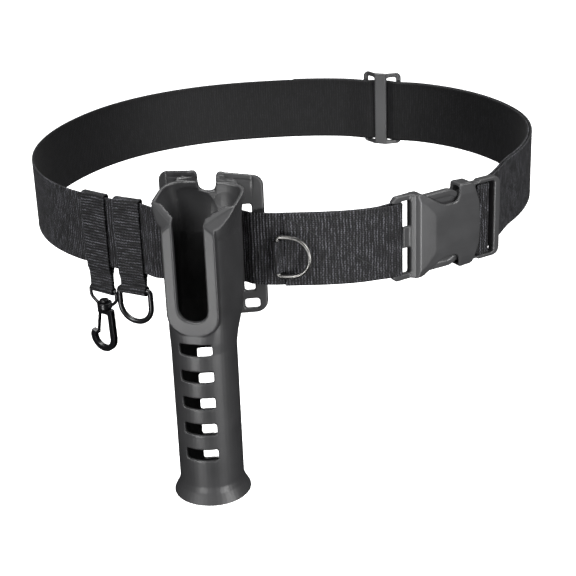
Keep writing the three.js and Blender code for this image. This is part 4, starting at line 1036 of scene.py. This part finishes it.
class BELT_OT_buckle(bpy.types.Operator):
    """Make both halves of the buckle and the slider"""

    bl_idname = "belt.buckle"
    bl_label = "Buckle and slider"

    def execute(self, context):
        settings = context.scene.moulding_settings
        finish = moulding_finish("Moulded acetal buckle", settings.buckle_colour, 0.34)
        for name, cad, cell in (
            ("moulded_socket", "buckle_socket", 0.55),
            ("moulded_prongs", "buckle_prongs", 0.5),
            ("moulded_slider", "strap_slider", 0.45),
        ):
            piece = moulded_copy(name, cad, cell, 4)
            finish_piece(piece, finish, replaces=[cad])
        return {"FINISHED"}


class BELT_OT_hook(bpy.types.Operator):
    """Make the swivel eye and the snap hook that turns in it"""

    bl_idname = "belt.hook"
    bl_label = "Swivel hook"

    def execute(self, context):
        finish = moulding_finish("Moulded acetal", context.scene.moulding_settings.hook_colour, 0.3)
        for name, cad, body in (
            ("moulded_eye", "swivel_eye", "belt"),
            ("moulded_hook", "snap_hook", "hook"),
        ):
            piece = moulded_copy(name, cad, 0.3, 4)
            finish_piece(piece, finish, body=body, replaces=[cad])
        return {"FINISHED"}


class BELT_OT_stage(bpy.types.Operator):
    """Set up the pale floor, the soft lights and the camera"""

    bl_idname = "belt.stage"
    bl_label = "Stage"

    def execute(self, context):
        settings = context.scene.stage_settings
        low = CAD_BOX[0][2] - settings.floor_drop
        # A flat floor that curves up into a dome: radius and height of each ring of the sweep
        turn = np.linspace(-np.pi / 2, np.pi / 2, 40)[:-1]
        radii = np.concatenate([[1.0, FLOOR_FLAT], FLOOR_DOME + FLOOR_DOME * np.cos(turn)])
        heights = low / MM + np.concatenate([[0.0, 0.0], FLOOR_DOME + FLOOR_DOME * np.sin(turn)])
        angles = np.linspace(0, 2 * np.pi, settings.sides, endpoint=False)
        ring = np.stack([np.cos(angles), np.sin(angles)], axis=1)
        tall = np.tile(heights[:, None, None], (1, settings.sides, 1))
        points = np.concatenate([radii[:, None, None] * ring, tall], axis=2)
        near = np.arange(settings.sides // 2 - 1)
        far = settings.sides - 1 - near
        close = np.stack([near, near + 1, far - 1, far], axis=1)
        faces = np.concatenate([grid_faces(len(radii), settings.sides, wrap_columns=True), close])
        floor = make_mesh("pale_floor", points.reshape(-1, 3), faces)
        made, _, shader, _ = surface("Matt white paper")
        shader.inputs["Base Color"].default_value = (0.85, 0.85, 0.85, 1.0)
        shader.inputs["Roughness"].default_value = 0.9
        shader.inputs["Emission Color"].default_value = (1.0, 1.0, 1.0, 1.0)
        shader.inputs["Emission Strength"].default_value = 0.9
        floor.data.materials.append(made)
        # The paper shows behind the object but not in its gloss, as with dark cloths round it
        floor.visible_glossy = False
        floor.visible_diffuse = False
        floor.visible_shadow = False

        world = bpy.data.worlds.new("Studio white")
        context.scene.world = world
        world.use_nodes = True
        back = world.node_tree.nodes["Background"]
        back.inputs["Color"].default_value = (1.0, 1.0, 1.0, 1.0)
        back.inputs["Strength"].default_value = 0.3
        world.cycles_visibility.glossy = False

        for name, place, size, power in (
            ("key", (-0.9, -1.5, 1.3), 0.9, settings.key_power),
            ("side", (1.5, -0.7, 0.7), 0.7, settings.fill_power),
            ("top", (0.1, 0.6, 1.6), 1.0, settings.key_power * 0.6),
            ("low_front", (-0.2, -0.85, -0.27), 0.2, settings.card_power),
            ("low_right", (0.62, -0.6, -0.2), 0.22, settings.card_power * 1.4),
        ):
            data = bpy.data.lights.new(name, "AREA")
            data.energy = power
            data.size = size
            light = bpy.data.objects.new(name, data)
            light.location = place
            aim = Vector(LIGHTS_AIM) - Vector(place)
            light.rotation_euler = aim.to_track_quat("-Z", "Y").to_euler()
            context.scene.collection.objects.link(light)

        data = bpy.data.cameras.new("photo_view")
        data.lens = CAMERA_LENS
        data.clip_end = 50.0
        camera = bpy.data.objects.new("photo_view", data)
        place = Vector(CAMERA_PLACE) * MM
        aim = Vector(CAMERA_AIM) * MM - place
        turn = aim.to_track_quat("-Z", "Y").to_matrix().to_4x4()
        turn = turn @ turn.Rotation(math.radians(CAMERA_ROLL), 4, "Z")
        turn.translation = place
        camera.matrix_world = turn
        context.scene.collection.objects.link(camera)
        context.scene.camera = camera
        context.scene.view_settings.view_transform = "Standard"
        return {"FINISHED"}


class BELT_PT_panel(bpy.types.Panel):
    """Lists the steps that build the belt"""

    bl_idname = "BELT_PT_panel"
    bl_label = "Rod holder belt"
    bl_space_type = "VIEW_3D"
    bl_region_type = "UI"
    bl_category = "Rod Belt"

    def draw(self, context):
        for group in ("belt_settings", "moulding_settings", "stage_settings"):
            settings = getattr(context.scene, group)
            for key in settings.__annotations__:
                self.layout.prop(settings, key)
        for step in STEPS:
            self.layout.operator(step.bl_idname)


STEPS = (
    BELT_OT_stage,
    BELT_OT_webbing,
    BELT_OT_stitching,
    BELT_OT_hangers,
    BELT_OT_steel_ring,
    BELT_OT_plastic_ring,
    BELT_OT_rod_holder,
    BELT_OT_buckle,
    BELT_OT_hook,
)
GROUPS = (BeltSettings, MouldingSettings, StageSettings)


def register():
    """Adds the settings, the steps and the panel."""
    for kind in GROUPS + STEPS + (BELT_PT_panel,):
        bpy.utils.register_class(kind)
    bpy.types.Scene.belt_settings = PointerProperty(type=BeltSettings)
    bpy.types.Scene.moulding_settings = PointerProperty(type=MouldingSettings)
    bpy.types.Scene.stage_settings = PointerProperty(type=StageSettings)


def unregister():
    """Takes them away again."""
    del bpy.types.Scene.belt_settings
    del bpy.types.Scene.moulding_settings
    del bpy.types.Scene.stage_settings
    for kind in reversed(GROUPS + STEPS + (BELT_PT_panel,)):
        bpy.utils.unregister_class(kind)


def main():
    """Builds the belt, step by step. The CAD box is noted when the frame is imported."""
    register()
    bpy.ops.belt.stage()
    bpy.ops.belt.webbing()
    bpy.ops.belt.stitching()
    bpy.ops.belt.hangers()
    bpy.ops.belt.steel_ring()
    bpy.ops.belt.plastic_ring()
    bpy.ops.belt.rod_holder()
    bpy.ops.belt.buckle()
    bpy.ops.belt.hook()
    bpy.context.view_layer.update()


if __name__ == "__main__":
    main()
